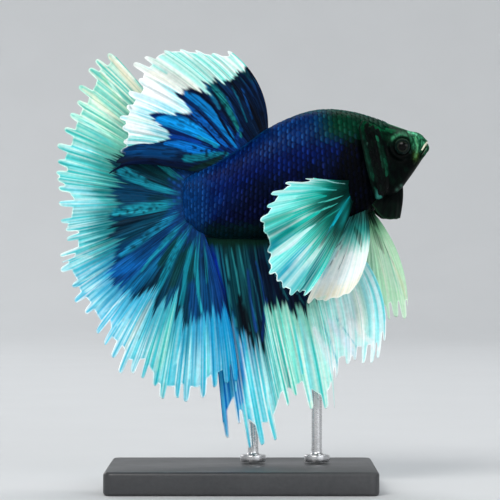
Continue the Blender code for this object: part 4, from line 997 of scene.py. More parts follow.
# ---------------------------------------------------------------- scales
def plates(surface, t, a, length, width, lift, sink, colour_of, uv_of, flip, dash):
    """Many curved plates at once. Each lies on surface(t, a, grow), root forward, rear edge rounded and raised.

    t grows towards the tail. length and width are each plate's own size in mm.
    """
    q = np.array((0.0, 0.16, 0.34, 0.52, 0.68, 0.82, 0.92, 0.98, 1.0))
    s = np.array((-1.0, -0.82, -0.5, -0.17, 0.17, 0.5, 0.82, 1.0))
    Q, S = np.meshgrid(q, s, indexing="ij")
    half = np.where(Q < 0.5, 0.78 + 0.22 * np.sin(np.pi * Q), np.sqrt(np.maximum(0.0, 1 - ((Q - 0.5) / 0.5) ** 2.4)))
    half = np.maximum(half, 0.10)
    n = len(t)
    e = 1e-3
    base = surface(t, a, 0.0)
    per_t = np.linalg.norm(surface(t + e, a, 0.0) - base, axis=-1) / e
    per_a = np.linalg.norm(surface(t, a + e, 0.0) - base, axis=-1) / e
    wig = 0.08 * (hashed(np.arange(n), 1.0, 3) - 0.5)
    Lo = (Q[None] - 0.5) * length[:, None, None]
    Ac = S[None] * half[None] * width[:, None, None] / 2 + Lo * wig[:, None, None]
    T = t[:, None, None] + Lo / np.maximum(per_t, 1e-4)[:, None, None]
    A = a[:, None, None] + Ac / np.maximum(per_a, 1e-4)[:, None, None]
    dome = 0.022 * (1 - S ** 2) * ease(0.0, 0.5, Q) + 0.006 * np.cos(Q * 26.0) * ease(0.3, 0.6, Q)
    rise = -sink + (lift + sink) * ease(0.0, 0.75, Q)[None] * np.ones((n, 1, 1))
    top = rise + dome[None]
    edge = (np.abs(S) > 0.99) | (Q > 0.99) | (Q < 0.01)
    thin = np.where(edge, 0.015, 0.055)[None]
    up = surface(T, A, top)
    down = surface(T, A, top - thin)
    shape = Q.shape
    m = shape[0] * shape[1]
    co = np.concatenate([up.reshape(n, m, 3), down.reshape(n, m, 3)], 1).reshape(-1, 3)
    gq = grid_faces(*shape)
    idx = np.arange(m).reshape(shape)
    rim = np.concatenate([idx[0, :-1], idx[:-1, -1], idx[-1, :0:-1], idx[:0:-1, 0]])
    nxt = np.roll(rim, -1)
    one = np.concatenate([gq, gq[:, ::-1] + m, np.stack([nxt, rim, rim + m, nxt + m], -1)])
    if flip:
        one = one[:, ::-1]
    faces = (one[None] + (np.arange(n) * 2 * m)[:, None, None]).reshape(-1, 4)
    # each plate's colour: its own shade, darker where the next row shadows it, a pale upright dash behind: the scale's
    # own pale mark with its sheen painted in; the underside is painted half as bright, as shade
    base_c, dash_c, strength = colour_of(base, t, a)
    shade = 0.72 + 0.60 * hashed(np.arange(n), 2.0, 5)
    body = base_c * shade[:, None]
    mark = bump(Q + 0.05 * S, 0.80, 0.085) * ease(0.95, 0.35, np.abs(S))
    rimdark = np.clip(ease(0.90, 1.0, Q) + 0.7 * ease(0.8, 1.0, np.abs(S)), 0, 1)
    c = body[:, None, None, :] * (1.0 - 0.62 * rimdark)[None, ..., None]
    f = (strength * (0.20 + 1.1 * hashed(np.arange(n), 4.0, 9) ** 1.2))[:, None, None] * mark[None] * dash
    c = mix(c, np.broadcast_to(dash_c[:, None, None, :], c.shape), np.clip(f, 0, 1))
    # painted shade: the plates' undersides at half the colour
    tint = np.concatenate([c.reshape(n, m, 3), c.reshape(n, m, 3) * 0.5], 1).reshape(-1, 3)
    root = uv_of(t, a)
    local = np.stack([(Q - 0.5) * 0.003, S * half * 0.0015], -1).reshape(m, 2)
    uv = root[:, None, :] + np.concatenate([local, local])[None]
    return co, faces, tint, np.clip(uv, 0, 1).reshape(-1, 2)


def flank_places():
    """Rows of scales in quincunx: columns along the body, rows measured round it from the middle of the flank."""
    fine_t = np.linspace(4.0, 13.9, 2000)
    mid = body_point(fine_t, np.zeros_like(fine_t))
    run = np.concatenate([[0], np.cumsum(np.linalg.norm(np.diff(mid, axis=0), axis=1))])
    size = lambda t: stops(t, ((4.0, 0.80), (6.0, 0.96), (8.0, 1.0), (11.0, 0.92), (12.5, 0.78), (14.0, 0.6)))
    out_t, out_a, out_s = [], [], []
    at, col = run[-1] - 0.1, 0
    while at > 0.2:
        t = float(np.interp(at, run, fine_t))
        k = float(size(t))
        ang = np.linspace(-np.pi / 2, np.pi / 2, 361)
        loop = body_point(np.full_like(ang, t), ang)
        arc = np.concatenate([[0], np.cumsum(np.linalg.norm(np.diff(loop, axis=0), axis=1))])
        arc -= arc[180]
        pitch = 1.20 * k
        r = np.arange(-16, 17) + 0.5 * (col % 2)
        place = r * pitch
        ok = (place > arc[0] - 0.05) & (place < arc[-1] + 0.05)
        for s in place[ok]:
            angle = float(np.interp(s, arc, ang))
            out_t.append(t), out_a.append(angle), out_s.append(k)
        at -= 0.87 * k
        col += 1
    return np.array(out_t), np.array(out_a), np.array(out_s)


def flank_colours(p, t, a):
    x, z = p[:, 0], p[:, 2]
    base = body_tint(x, z, a, hashed(t * 31.7, a * 17.3, 8))
    up = z - np.interp(x, (-8, 0, 8, 16, 20), (49.0, 52.0, 55.0, 57.5, 58.0))
    patch = clouds(x / 1.6, z / 1.6, 23)
    # the pale dash of each scale: its own pale mark with the scale's sheen painted in
    dash = mix(srgb(34, 46, 100), srgb(22, 56, 140), ease(-2.5, 0.5, up))
    dash = mix(dash, srgb(30, 94, 156), ease(1.5, 4.5, up) * (0.35 + 0.65 * ease(0.0, 8.0, x)))
    dash = mix(dash, srgb(40, 112, 176), 0.8 * ease(-1.0, -8.0, x))
    top = ridge_angle(a)
    dash = mix(dash, srgb(24, 92, 60), ease(10.0, 17.0, x) * ease(15.0, 40.0, top))
    low = z - np.interp(x, (-6, 0, 10, 16), (44.4, 44.5, 44.6, 46.4))
    dash = mix(dash, srgb(16, 50, 44), 0.8 * ease(2.0, 0.4, low))
    black = ease(15.6, 18.4, x + 0.25 * (58.0 - z) * (z < 58)) * ease(40.0, 20.0, top)
    strength = (0.95 - 0.55 * ease(60.0, 80.0, np.abs(np.degrees(a)))) * (1 - 0.9 * black) * (0.55 + 0.6 * ease(0.3, 0.7, patch))
    return base, dash * np.array((0.55, 0.64, 0.84)), np.clip(strength, 0.04, 1.0)


def plate_point(u, w, grow):
    """A point over the gill plate's outer face: u runs back over it and w down it."""
    uu = np.clip(u, 0.0, 1.05)
    t = plate_front(w) + (plate_rear(w) - plate_front(w)) * uu
    start = ease(0.0, 0.35, uu)
    lift = plate_lift(uu, np.clip(w, 0, 1)) * start + 0.06 * (1 - start) + 0.20 * ease(0, 0.4, uu) - 0.12
    return body_point(t, COVER_TOP + (COVER_LOW - COVER_TOP) * w, lift + grow)


def head_colours(p, t, a):
    x, y, z = p[:, 0], p[:, 1], p[:, 2]
    ang = np.radians(20.0) * np.ones_like(x)
    base = head_tint(x, z, y, ang)
    # the gill scales' dash: their own colour made 2.2 times brighter, a painted sheen
    return base, base * 2.2 + 0.002, np.full(len(x), 0.5)


def build_scales(mat_flank, mat_head):
    t, a, s = flank_places()
    p = body_point(t, a)
    behind = plate_rear(np.clip((COVER_TOP - a) / (COVER_TOP - COVER_LOW), 0, 1)) + 0.02
    under = (np.degrees(a) < 55) & (np.degrees(a) > -58)
    keep = np.where(under, t > behind + 0.05, t > np.where(a > 0, 4.1, 5.2))
    t, a, s = t[keep], a[keep], s[keep]
    made = []
    groups = (("scales_upper", a >= 0.0), ("scales_lower", a < 0.0))
    for sign, word in ((RIGHT, "right"), (LEFT, "left")):
        for name, pick in groups:
            tt, aa, ss = t[pick], a[pick], s[pick]
            seed = 0.02 * (hashed(np.arange(len(tt)), sign, 1) - 0.5)

            def surface(T, A, grow, sign=sign):
                q = body_point(T, A, grow)
                q[..., 1] *= sign
                return swept(q)

            co, faces, tint, uv = plates(
                surface, tt + seed, aa, 1.78 * ss, 1.56 * ss, np.full(len(tt), 0.04)[:, None, None], 0.20,
                lambda b, T, A: flank_colours(b, T, A),
                lambda T, A, sign=sign: body_uv(T, A if sign > 0 else np.pi - A), sign < 0, 1.0)
            made.append((f"{name}_{word}", co, faces, tint, uv, mat_flank))
        # the gill plate: broad thin scales
        gu, gw = [], []
        for i, u in enumerate(np.arange(0.16, 0.86, 0.145)):
            for w in np.arange(0.10, 0.93, 0.088) + 0.044 * (i % 2):
                gu.append(u), gw.append(w)
        gu, gw = np.array(gu), np.array(gw)

        def over(U, W, grow, sign=sign):
            q = plate_point(U, W, grow)
            q[..., 1] *= sign
            return swept(q)

        span = np.full(len(gu), 1.0)
        co, faces, tint, uv = plates(over, gu, gw, 1.25 * span, 1.55 * span, np.full(len(gu), 0.07)[:, None, None], 0.10,
                                     head_colours,
                                     lambda U, W, sign=sign: body_uv(4.4 + 1.2 * U, (COVER_TOP + (COVER_LOW - COVER_TOP) * W)
                                                                    if sign > 0 else np.pi - (COVER_TOP + (COVER_LOW - COVER_TOP) * W)),
                                     sign > 0, 0.8)
        made.append((f"scales_gill_{word}", co, faces, tint, uv, mat_head))
    for name, co, faces, tint, uv, mat in made:
        f = outward(co, [faces])
        ob = make_mesh(name, co, f, tint, uv=uv)
        ob.data.materials.append(mat)
        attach(ob, "root")


# ---------------------------------------------------------------- fins
class Fan:
    """A rayed fin: guide rays (root x, z, tip x, z, bow), its measured edge, and its sideways shape.

    The edge is (notch across, notch out, tip across, tip out) for every prong, then the last notch.
    """

    def __init__(self, guides, edge, side_of, seed, late=False):
        self.g, self.side_of, self.seed, self.late = guides, side_of, seed, late
        self.notch = np.array([row[:2] for row in edge], float)
        tips = np.array([row[2:] for row in edge[:-1]], float)
        gap = np.diff(self.notch[:, 0])
        tips[:, 0] = np.clip(tips[:, 0], self.notch[:-1, 0] + 0.25 * gap, self.notch[1:, 0] - 0.25 * gap)
        self.tip = tips
        self.n = len(tips)
        # length of the edge in mm, from the first ray on
        self.us = np.linspace(0, 1, 2001)
        p = self.at(self.us, np.full(2001, 0.96))[:, (0, 2)]
        self.run = np.concatenate([[0.0], np.cumsum(np.linalg.norm(np.diff(p, axis=0), axis=1))])

    def guide(self, u):
        return spline(self.g, np.asarray(u, float) * (len(self.g) - 1))

    def length(self, u):
        g = self.guide(u)
        return np.hypot(g[..., 2] - g[..., 0], g[..., 3] - g[..., 1])

    def at(self, u, v, y=0.0):
        g = self.guide(u)
        dx, dz = g[..., 2] - g[..., 0], g[..., 3] - g[..., 1]
        L = np.hypot(dx, dz)
        late = ease(0.8, 1.0, u) if self.late else 0.0
        arch = np.where(v > 0, g[..., 4] * 4 * v * (1 - v) * (1 + late * (2 * v - 1)), 0.0)
        return np.stack([g[..., 0] + dx * v + dz / L * arch, self.side_of(u, v) + y,
                         g[..., 1] + dz * v - dx / L * arch], -1)

    def s(self, u):
        """Millimetres along the edge at u."""
        return np.interp(u, self.us, self.run)

    def u(self, s):
        return np.interp(s, self.run, self.us)

    def web(self, u):
        return np.interp(u, self.notch[:, 0], self.notch[:, 1])

    def prong(self, u):
        """The prong at u: its number, the distance to its tip, the half width and foot of its finger (mm)."""
        i = np.clip(np.searchsorted(self.notch[:, 0], u, side="right") - 1, 0, self.n - 1)
        tip, left, right = self.s(self.tip[i, 0]), self.s(self.notch[i, 0]), self.s(self.notch[i + 1, 0])
        d = self.s(u) - tip
        side = np.where(d < 0, tip - left, right - tip)
        h0 = np.minimum(0.44, 0.50 * side)
        h1 = np.minimum(side * 0.97, h0 + 0.30)
        return i, np.abs(d), h0, h1

    def edge(self, u):
        """Where the fin ends along the ray at u, with its prongs."""
        i, d, h0, h1 = self.prong(u)
        web, L = self.web(u), self.length(u)
        tall = np.maximum(self.tip[i, 1] - web, 0.0)
        round_off = np.minimum((h0 / L) * (1 - np.sqrt(np.maximum(0.0, 1 - np.minimum(d / h0, 1.0) ** 2))), 0.5 * tall)
        flank = 0.5 + 0.5 * np.cos(np.pi * np.clip((d - h0) / (h1 - h0), 0.0, 1.0))
        return web + (tall - round_off) * np.where(d <= h0, 1.0, flank)

    def columns(self):
        """Places across the fan that follow every prong: close at its finger, wide between."""
        out = []
        for k in range(self.n):
            tip, left, right = (float(self.s(c)) for c in (self.tip[k, 0], self.notch[k, 0], self.notch[k + 1, 0]))
            for sign, side in ((-1, tip - left), (1, right - tip)):
                h0 = min(0.44, 0.50 * side)
                h1 = min(side * 0.97, h0 + 0.30)
                more = [h0 + f * (h1 - h0) for f in (0.22, 0.42, 0.62, 0.82, 1.0)]
                d = [0.4 * h0, 0.75 * h0, 0.96 * h0] + more
                if side - h1 > 0.3:
                    d += list(h1 + (side - h1) * np.linspace(0, 1, max(2, int((side - h1) / 0.3)) + 1)[1:-1])
                if sign < 0:
                    d.append(side)
                    out += [tip - q for q in d[::-1]] + [tip]
                else:
                    out += [tip + q for q in d]
        s = np.array(out + [self.run[-1]])
        u = self.u(s)
        u[0], u[-1] = 0.0, 1.0
        return u[np.concatenate([[True], np.diff(u) > 1e-6])]


def lines_of(fan, u, v, pitch, seed, jitter=0.30, wander=0.5):
    """Fine rays: distance in mm from the nearest one, and a number for it. They run out side by side."""
    g = fan.s(u) / pitch + wander * (cloud(fan.s(u) * 0.35, v * 2.2, seed) - 0.5)
    i = np.floor(g)
    d = g - i - 0.5 - jitter * (hashed(i, 2.0, seed) - 0.5)
    e = 1e-3
    a, b = np.clip(u - e, 0, 1), np.clip(u + e, 0, 1)
    p, q = fan.at(a, v), fan.at(b, v)
    here = np.linalg.norm((q - p)[..., (0, 2)], axis=-1) / np.maximum(fan.s(b) - fan.s(a), 1e-6)
    return np.abs(d) * pitch * here, i, here


def edge_distance(fan, p, u, v):
    """Distance in mm to the fin's outline, sideways across the prongs too; 9 where far inside."""
    us = fan.columns()
    rim = fan.at(us, fan.edge(us))[:, (0, 2)]
    out = np.full(v.shape, 9.0)
    near = v > fan.web(u) - 0.05
    x, z = p[near][:, 0], p[near][:, 2]
    best = np.full(len(x), 9.0)
    for a, b in zip(rim, rim[1:]):
        ab = b - a
        t = np.clip(((x - a[0]) * ab[0] + (z - a[1]) * ab[1]) / max(ab @ ab, 1e-9), 0.0, 1.0)
        best = np.minimum(best, np.hypot(x - a[0] - t * ab[0], z - a[1] - t * ab[1]))
    out[near] = best
    return out


def deepen(c, k=1.0):
    """Keeps whites white and turns paler middle tones to clear turquoise."""
    c = np.array(c, float)
    red = np.interp(c[..., 0], (0, 0.05, 0.16, 0.48), (0.04, 0.10, 0.26, 0.36))
    c[..., 0] *= 1 - np.clip(k, 0, 1.2) * (1 - (red + (1 - red) * ease(0.48, 0.94, c[..., 0])))
    c[..., 0] = np.maximum(c[..., 0], 0.0)
    c[..., 1] *= 1 - k * (1 - (0.93 + 0.07 * ease(0.60, 0.95, c[..., 1])))
    c[..., 2] *= 1 - k * (1 - (0.97 + 0.03 * ease(0.60, 0.95, c[..., 2])))
    return c


def scale_rows(p, v, reach):
    """Small upright marks like the body's scales, their sheen painted in as on the scales, thinning out over the root
    of a fin.
    """
    x, z = p[..., 0] / 0.80, p[..., 2] / 1.05
    col = np.floor(x)
    zz = z + 0.5 * (col % 2)
    row = np.floor(zz)
    pick = hashed(col, row, 77)
    mark = bump(x - col, 0.5, 0.17) * bump(zz - row, 0.5, 0.26)
    return mark * (0.35 + 0.75 * pick) * ease(reach, 0.45 * reach, v + 0.05 * (hashed(col, row, 78) - 0.5))


def streaks(fan, u, v, fine, long, seed):
    """Random lines that run out along the rays, `fine` of them to a millimetre of the edge."""
    return cloud(fan.s(u) * fine, v * long, seed)


def stroke(fan, p, points, taper=False):
    """Distance to a painted stroke of (across, out, half width in mm), as a share of its half width."""
    at = np.array(points, float)
    if taper:
        f = np.linspace(0, len(at) - 1, 4 * len(at) + 1)
        at = np.stack([np.interp(f, np.arange(len(at)), at[:, k]) for k in range(3)], -1)
        at[:, 2] *= 0.12 + 0.88 * np.sin(np.pi * np.linspace(0.02, 0.98, len(f))) ** 0.7
    q = fan.at(at[:, 0], at[:, 1])[:, (0, 2)]
    best = np.full(p.shape[:-1], 99.0)
    x, z = p[..., 0], p[..., 2]
    for a, b, wa, wb in zip(q, q[1:], at[:, 2], at[1:, 2]):
        ab = b - a
        t = np.clip(((x - a[0]) * ab[0] + (z - a[1]) * ab[1]) / (ab @ ab), 0.0, 1.0)
        d = np.hypot(x - a[0] - t * ab[0], z - a[1] - t * ab[1])
        best = np.minimum(best, d / (wa + (wb - wa) * t))
    return best


def paint(c, fan, p, u, v, marks, strength=1.0, ragged=0.9, taper=False):
    """Lays the strokes over the colours in order; their edges fray along the rays."""
    fray = ragged * (0.6 * (streaks(fan, u, v, 2.3, 2.4, fan.seed + 31) - 0.5)
                     + 0.5 * (streaks(fan, u, v, 5.0, 3.6, fan.seed + 32) - 0.5))
    for rgb, k, soft, points in marks:
        d = stroke(fan, p, points, taper) + fray
        c = mix(c, srgb(*rgb), strength * k * ease(1 + soft, 1 - soft, d))
    return c


def flecks(fan, p, u, v, marks, size=0.42, seed=5):
    """Small dark dots and rings within the strokes."""
    x, z = p[..., 0] / size, p[..., 2] / size
    spot = cloud(x + 3.1, z * 1.0, fan.seed + seed)
    ring_ = ease(0.12, 0.03, np.abs(spot - 0.62)) * 0.6 + ease(0.66, 0.78, spot)
    within = np.zeros(u.shape)
    for k, soft, points in marks:
        within = np.maximum(within, k * ease(1 + soft, 1 - soft, stroke(fan, p, points)))
    return np.clip(ring_, 0, 1) * within


def build_fin(name, node_names, fan, colour, mat, rows=66, outer_rows=16, embed=0.85, pleat=0.09, thin=0.05,
              ridge=0.045, root_thick=0.30, root_run=0.07, pitch=0.95):
    us = fan.columns()
    edge, web, L = fan.edge(us), fan.web(us), fan.length(us)
    root = -embed / L
    near = np.minimum(web, edge) - 0.015
    inner = np.linspace(0, 1, rows - outer_rows + 1)
    outer = np.linspace(0, 1, outer_rows)[1:]
    v = np.concatenate([root[None] + (near - root)[None] * inner[:, None] ** 0.95,
                        near[None] + (edge - near)[None] * outer[:, None]])
    u = np.broadcast_to(us, v.shape).copy()
    vv = np.maximum(v, 0.0)
    S = fan.s(u)
    # soft folds that open towards the edge, and the rays standing a little proud
    dist, i, here = lines_of(fan, u, vv, pitch, fan.seed + 3)
    folds = pleat * (np.cos(2 * np.pi * S / 2.6 + 2.5 * cloud(S * 0.2, vv * 1.5, fan.seed + 4)) * ease(0.2, 0.8, vv) * 1.2
                     + 2.2 * (cloud(S * 0.30, vv * 2.0, fan.seed + 2) - 0.5) * ease(0.15, 1.0, vv))
    mid = fan.at(u, v, folds)
    w = 0.10 + 0.05 * (1 - vv)
    ray = np.exp(-(dist / w) ** 2)
    h = thin + ridge * ray * (1.2 - 0.7 * vv)
    h = h + (root_thick - thin) * np.exp(-np.maximum(vv, 0) / root_run)
    to_edge = edge_distance(fan, mid, u, v)
    h = h * (0.45 + 0.55 * ease(0.0, 0.35, to_edge))
    h[-1] = 0.02
    side = np.zeros_like(mid)
    side[..., 1] = h
    co, faces = closed_sheet(swept(mid - side), swept(mid + side))
    c = colour(fan, u, vv, mid, ray, to_edge)
    tint = np.concatenate([c.reshape(-1, 3)] * 2)
    # its own map: the front in the lower half and the back in the upper
    V = (v - v.min()) / np.ptp(v)
    uv = np.concatenate([np.stack([0.01 + 0.98 * S / S.max(), 0.01 + 0.48 * V], -1).reshape(-1, 2),
                         np.stack([0.01 + 0.98 * S / S.max(), 0.51 + 0.48 * V], -1).reshape(-1, 2)])
    along = np.stack([S, vv * fan.length(u) / 2.5], -1).reshape(-1, 2)
    ob = make_mesh(name, co, outward(co, faces), tint, uv=uv, lines=np.concatenate([along, along]))
    ob.data.materials.append(mat)
    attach(ob, "root")
    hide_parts(*node_names)
    return ob


def fine_rays(c, fan, u, v, line, gap, strength=1.0, start=0.15, pitch=0.56, seed=0, bold=1.0):
    """The bright fine rays of a fin's pale part and the thin shaded gaps between them."""
    for k, (step, wide, low) in enumerate(((pitch, 0.20, 0.25), (1.9 * pitch, 0.13, 0.45))):
        dist, i, here = lines_of(fan, u, v, step, fan.seed + 11 + seed + 5 * k)
        w = step * here
        bright = (low + (1 - low) * hashed(i, 5.0, fan.seed)) * ease(start, start + 0.12, v + 0.25 * hashed(i, 6.0, fan.seed))
        lit = np.exp(-(dist / (wide * w)) ** 2) * bright
        dark = ease(0.34, 0.46, dist / w) * (0.15 + 0.85 * hashed(i, 8.0, fan.seed)) * ease(start - 0.1, start + 0.1, v)
        c = mix(c, gap, strength * (0.66, 0.34 * bold)[k] * dark)
        c = mix(c, line, strength * (0.80, 0.92 * bold)[k] * lit)
    return c


def rim_line(c, rim, fan, u, v, to_edge, strength=0.9):
    """The pale outline of the fin's edge, a little uneven: the edge's own paler colour and a painted rim highlight."""
    broken = 0.35 + 0.65 * ease(0.3, 0.65, streaks(fan, u, v, 1.7, 2.0, fan.seed + 41))
    return mix(c, rim, strength * broken * ease(0.27, 0.06, to_edge))


def caudal_tint(fan, u, v, p, ray, to_edge):
    S = fan.s(u)
    # how far out the dark runs, with ragged tongues along the rays
    bound = stops(u, ((0, .50), (.039, .48), (.068, .47), (.095, .46), (.125, .46), (.143, .43), (.154, .42), (.188, .52), (.22, .59),
                      (.249, .61), (.286, .53), (.323, .56), (.361, .56), (.415, .58), (.439, .56), (.47, .57), (.487, .59),
                      (.529, .55), (.549, .58), (.566, .63), (.579, .72), (.601, .68), (.638, .62), (.659, .62), (.693, .59),
                      (.703, .49), (.723, .45), (.733, .48), (.756, .57), (.764, .52), (.791, .49), (.796, .43), (.821, .46),
                      (.848, .52), (.871, .54), (.893, .53), (.906, .54), (.92, .54), (.948, .53), (.983, .50), (1, .52)))
    ragged = 0.09 * (streaks(fan, u, v, 0.9, 1.6, 61) - 0.5) + 0.10 * (streaks(fan, u, v, 2.1, 2.4, 62) - 0.5)
    ragged = ragged + 0.05 * (streaks(fan, u, v, 5.0, 2.4, 57) - 0.5)
    f = ease(-0.022, 0.030, v - bound - ragged - 0.07 * (streaks(fan, u, v, 7.0, 3.0, 46) - 0.5))
    dark = stops(u, ((0, srgb(10, 46, 96)), (.15, srgb(6, 52, 84)), (.22, srgb(3, 52, 66)), (.3, srgb(5, 52, 80)), (.4, srgb(4, 56, 84)),
                     (.5, srgb(4, 52, 76)), (.57, srgb(6, 60, 110)), (.64, srgb(8, 72, 140)), (.7, srgb(5, 60, 88)), (.8, srgb(3, 56, 78)),
                     (.9, srgb(5, 60, 88)), (.96, srgb(8, 60, 116)), (1, srgb(8, 56, 136))))
    inner = mix(dark * 0.45, dark, ease(0.2, 0.6, streaks(fan, u, v, 0.8, 1.8, 63)))
    inner = paint(inner, fan, p, u, v, CAUDAL_INNER)
    inner = mix(inner, srgb(1, 26, 40), 0.8 * flecks(fan, p, u, v, CAUDAL_FLECKS))
    inner = mix(inner, inner * 0.35, 0.75 * ease(0.62, 0.85, streaks(fan, u, v, 2.6, 2.0, 64)))
    inner = mix(inner, inner * 1.7 + 0.006, 0.8 * ease(0.62, 0.86, streaks(fan, u, v, 3.6, 2.6, 65)))
    inner = inner * (1 - 0.45 * bump(u, .59, .06) * ease(.12, .2, v) * ease(.55, .42, v))[..., None]
    inner = mix(inner, inner * 0.4, 0.7 * ease(0.60, 0.80, streaks(fan, u, v, 3.6, 11.0, 54)))
    # the body's blue and its scales run a little way out over the rays
    inner = mix(inner, srgb(10, 42, 88), 0.85 * ease(0.15, 0.03, v + 0.10 * (streaks(fan, u, v, 1.6, 2.0, 66) - 0.5)))
    inner = mix(inner, srgb(22, 86, 164), 0.85 * scale_rows(p, v, 0.17))
    # the pale rim
    web = stops(u, ((0, srgb(150, 214, 196)), (.05, srgb(136, 208, 190)), (.1, srgb(176, 226, 204)), (.15, srgb(158, 220, 200)),
                    (.2, srgb(120, 208, 200)), (.25, srgb(146, 216, 212)), (.3, srgb(136, 214, 210)), (.37, srgb(182, 228, 236)),
                    (.42, srgb(136, 218, 220)), (.5, srgb(160, 226, 230)), (.55, srgb(134, 216, 238)), (.6, srgb(176, 222, 240)),
                    (.65, srgb(150, 212, 238)), (.7, srgb(178, 220, 240)), (.75, srgb(96, 196, 212)), (.8, srgb(116, 206, 208)),
                    (.85, srgb(128, 214, 232)), (.9, srgb(90, 190, 214)), (.95, srgb(70, 174, 190)), (1, srgb(20, 132, 188))))
    line = stops(u, ((0, srgb(250, 248, 232)), (.1, srgb(232, 248, 228)), (.25, srgb(222, 250, 242)), (.45, srgb(236, 248, 252)),
                     (.66, srgb(240, 250, 255)), (.76, srgb(220, 246, 250)), (.84, srgb(214, 244, 240)), (.92, srgb(214, 246, 255)),
                     (.97, srgb(150, 220, 240)), (1, srgb(90, 190, 226))))
    teal = stops(u, ((0, srgb(96, 176, 160)), (.1, srgb(96, 186, 166)), (.25, srgb(60, 170, 168)), (.45, srgb(50, 166, 176)), (.6, srgb(50, 150, 200)),
                     (.7, srgb(80, 172, 208)), (.85, srgb(50, 164, 188)), (1, srgb(20, 130, 200))))
    pale = mix(web, teal, 0.85 * ease(0.50, 0.86, streaks(fan, u, v, 1.0, 1.5, 68)) * ease(1.02, 0.70, v))
    pale = mix(pale, line, 0.60 * ease(0.58, 0.85, streaks(fan, u, v, 1.3, 1.3, 67)))
    pale = paint(pale, fan, p, u, v, CAUDAL_OUTER, 0.92)
    pale = mix(pale, srgb(30, 160, 216) + 0 * pale, 0.75 * ease(0.90, 0.965, u) * ease(0.30, 0.75, streaks(fan, u, v, 1.8, 1.3, 58)))
    pale = deepen(pale, 1.15 - 0.35 * ease(.24, .12, u))
    # between the dark and the pale a belt of clear teal
    belt = stops(u, ((0, srgb(170, 220, 200)), (.1, srgb(140, 208, 188)), (.18, srgb(100, 186, 166)), (.24, srgb(44, 146, 138)), (.3, srgb(20, 126, 128)), (.5, srgb(12, 124, 134)), (.58, srgb(34, 154, 194)),
                     (.7, srgb(44, 168, 206)), (.8, srgb(48, 162, 178)), (.9, srgb(30, 160, 204)), (1, srgb(12, 136, 196))))
    reach = v - bound - 1.5 * ragged
    pale = mix(belt, pale, ease(0.02, 0.29, reach - 0.16 * (streaks(fan, u, v, 3.4, 1.6, 55) - 0.5)))
    pale = fine_rays(pale, fan, u, v, line, deepen(teal * 0.8), (1.0 - 0.5 * ease(0.92, 1.0, u)) * (0.14 + 0.86 * ease(0.08, 0.30, reach)), start=0.3)
    pale = mix(pale, teal * 0.5, 0.65 * ease(0.70, 0.88, streaks(fan, u, v, 2.4, 1.6, 69)) * ease(0.90, 0.60, v))
    pale = mix(pale, pale * 0.80, 0.8 * ease(0.55, 0.9, streaks(fan, u, v, 4.5, 3.0, 60)))
    pale = mix(pale, pale * np.array((0.62, 0.80, 0.80)), ease(.22, .32, u) * ease(.60, .54, u) * ease(.52, .20, reach) * (0.45 + 0.9 * streaks(fan, u, v, 2.0, 1.4, 44)))
    rim = mix(srgb(222, 252, 238), srgb(246, 253, 255), ease(0.3, 0.6, u))
    pale = mix(pale, teal, 0.22 * ease(0.75, 0.45, to_edge) * ease(0.20, 0.36, to_edge))
    return rim_line(mix(inner, pale, f), rim, fan, u, v, to_edge, 0.95 * ease(0.97, 0.92, u))


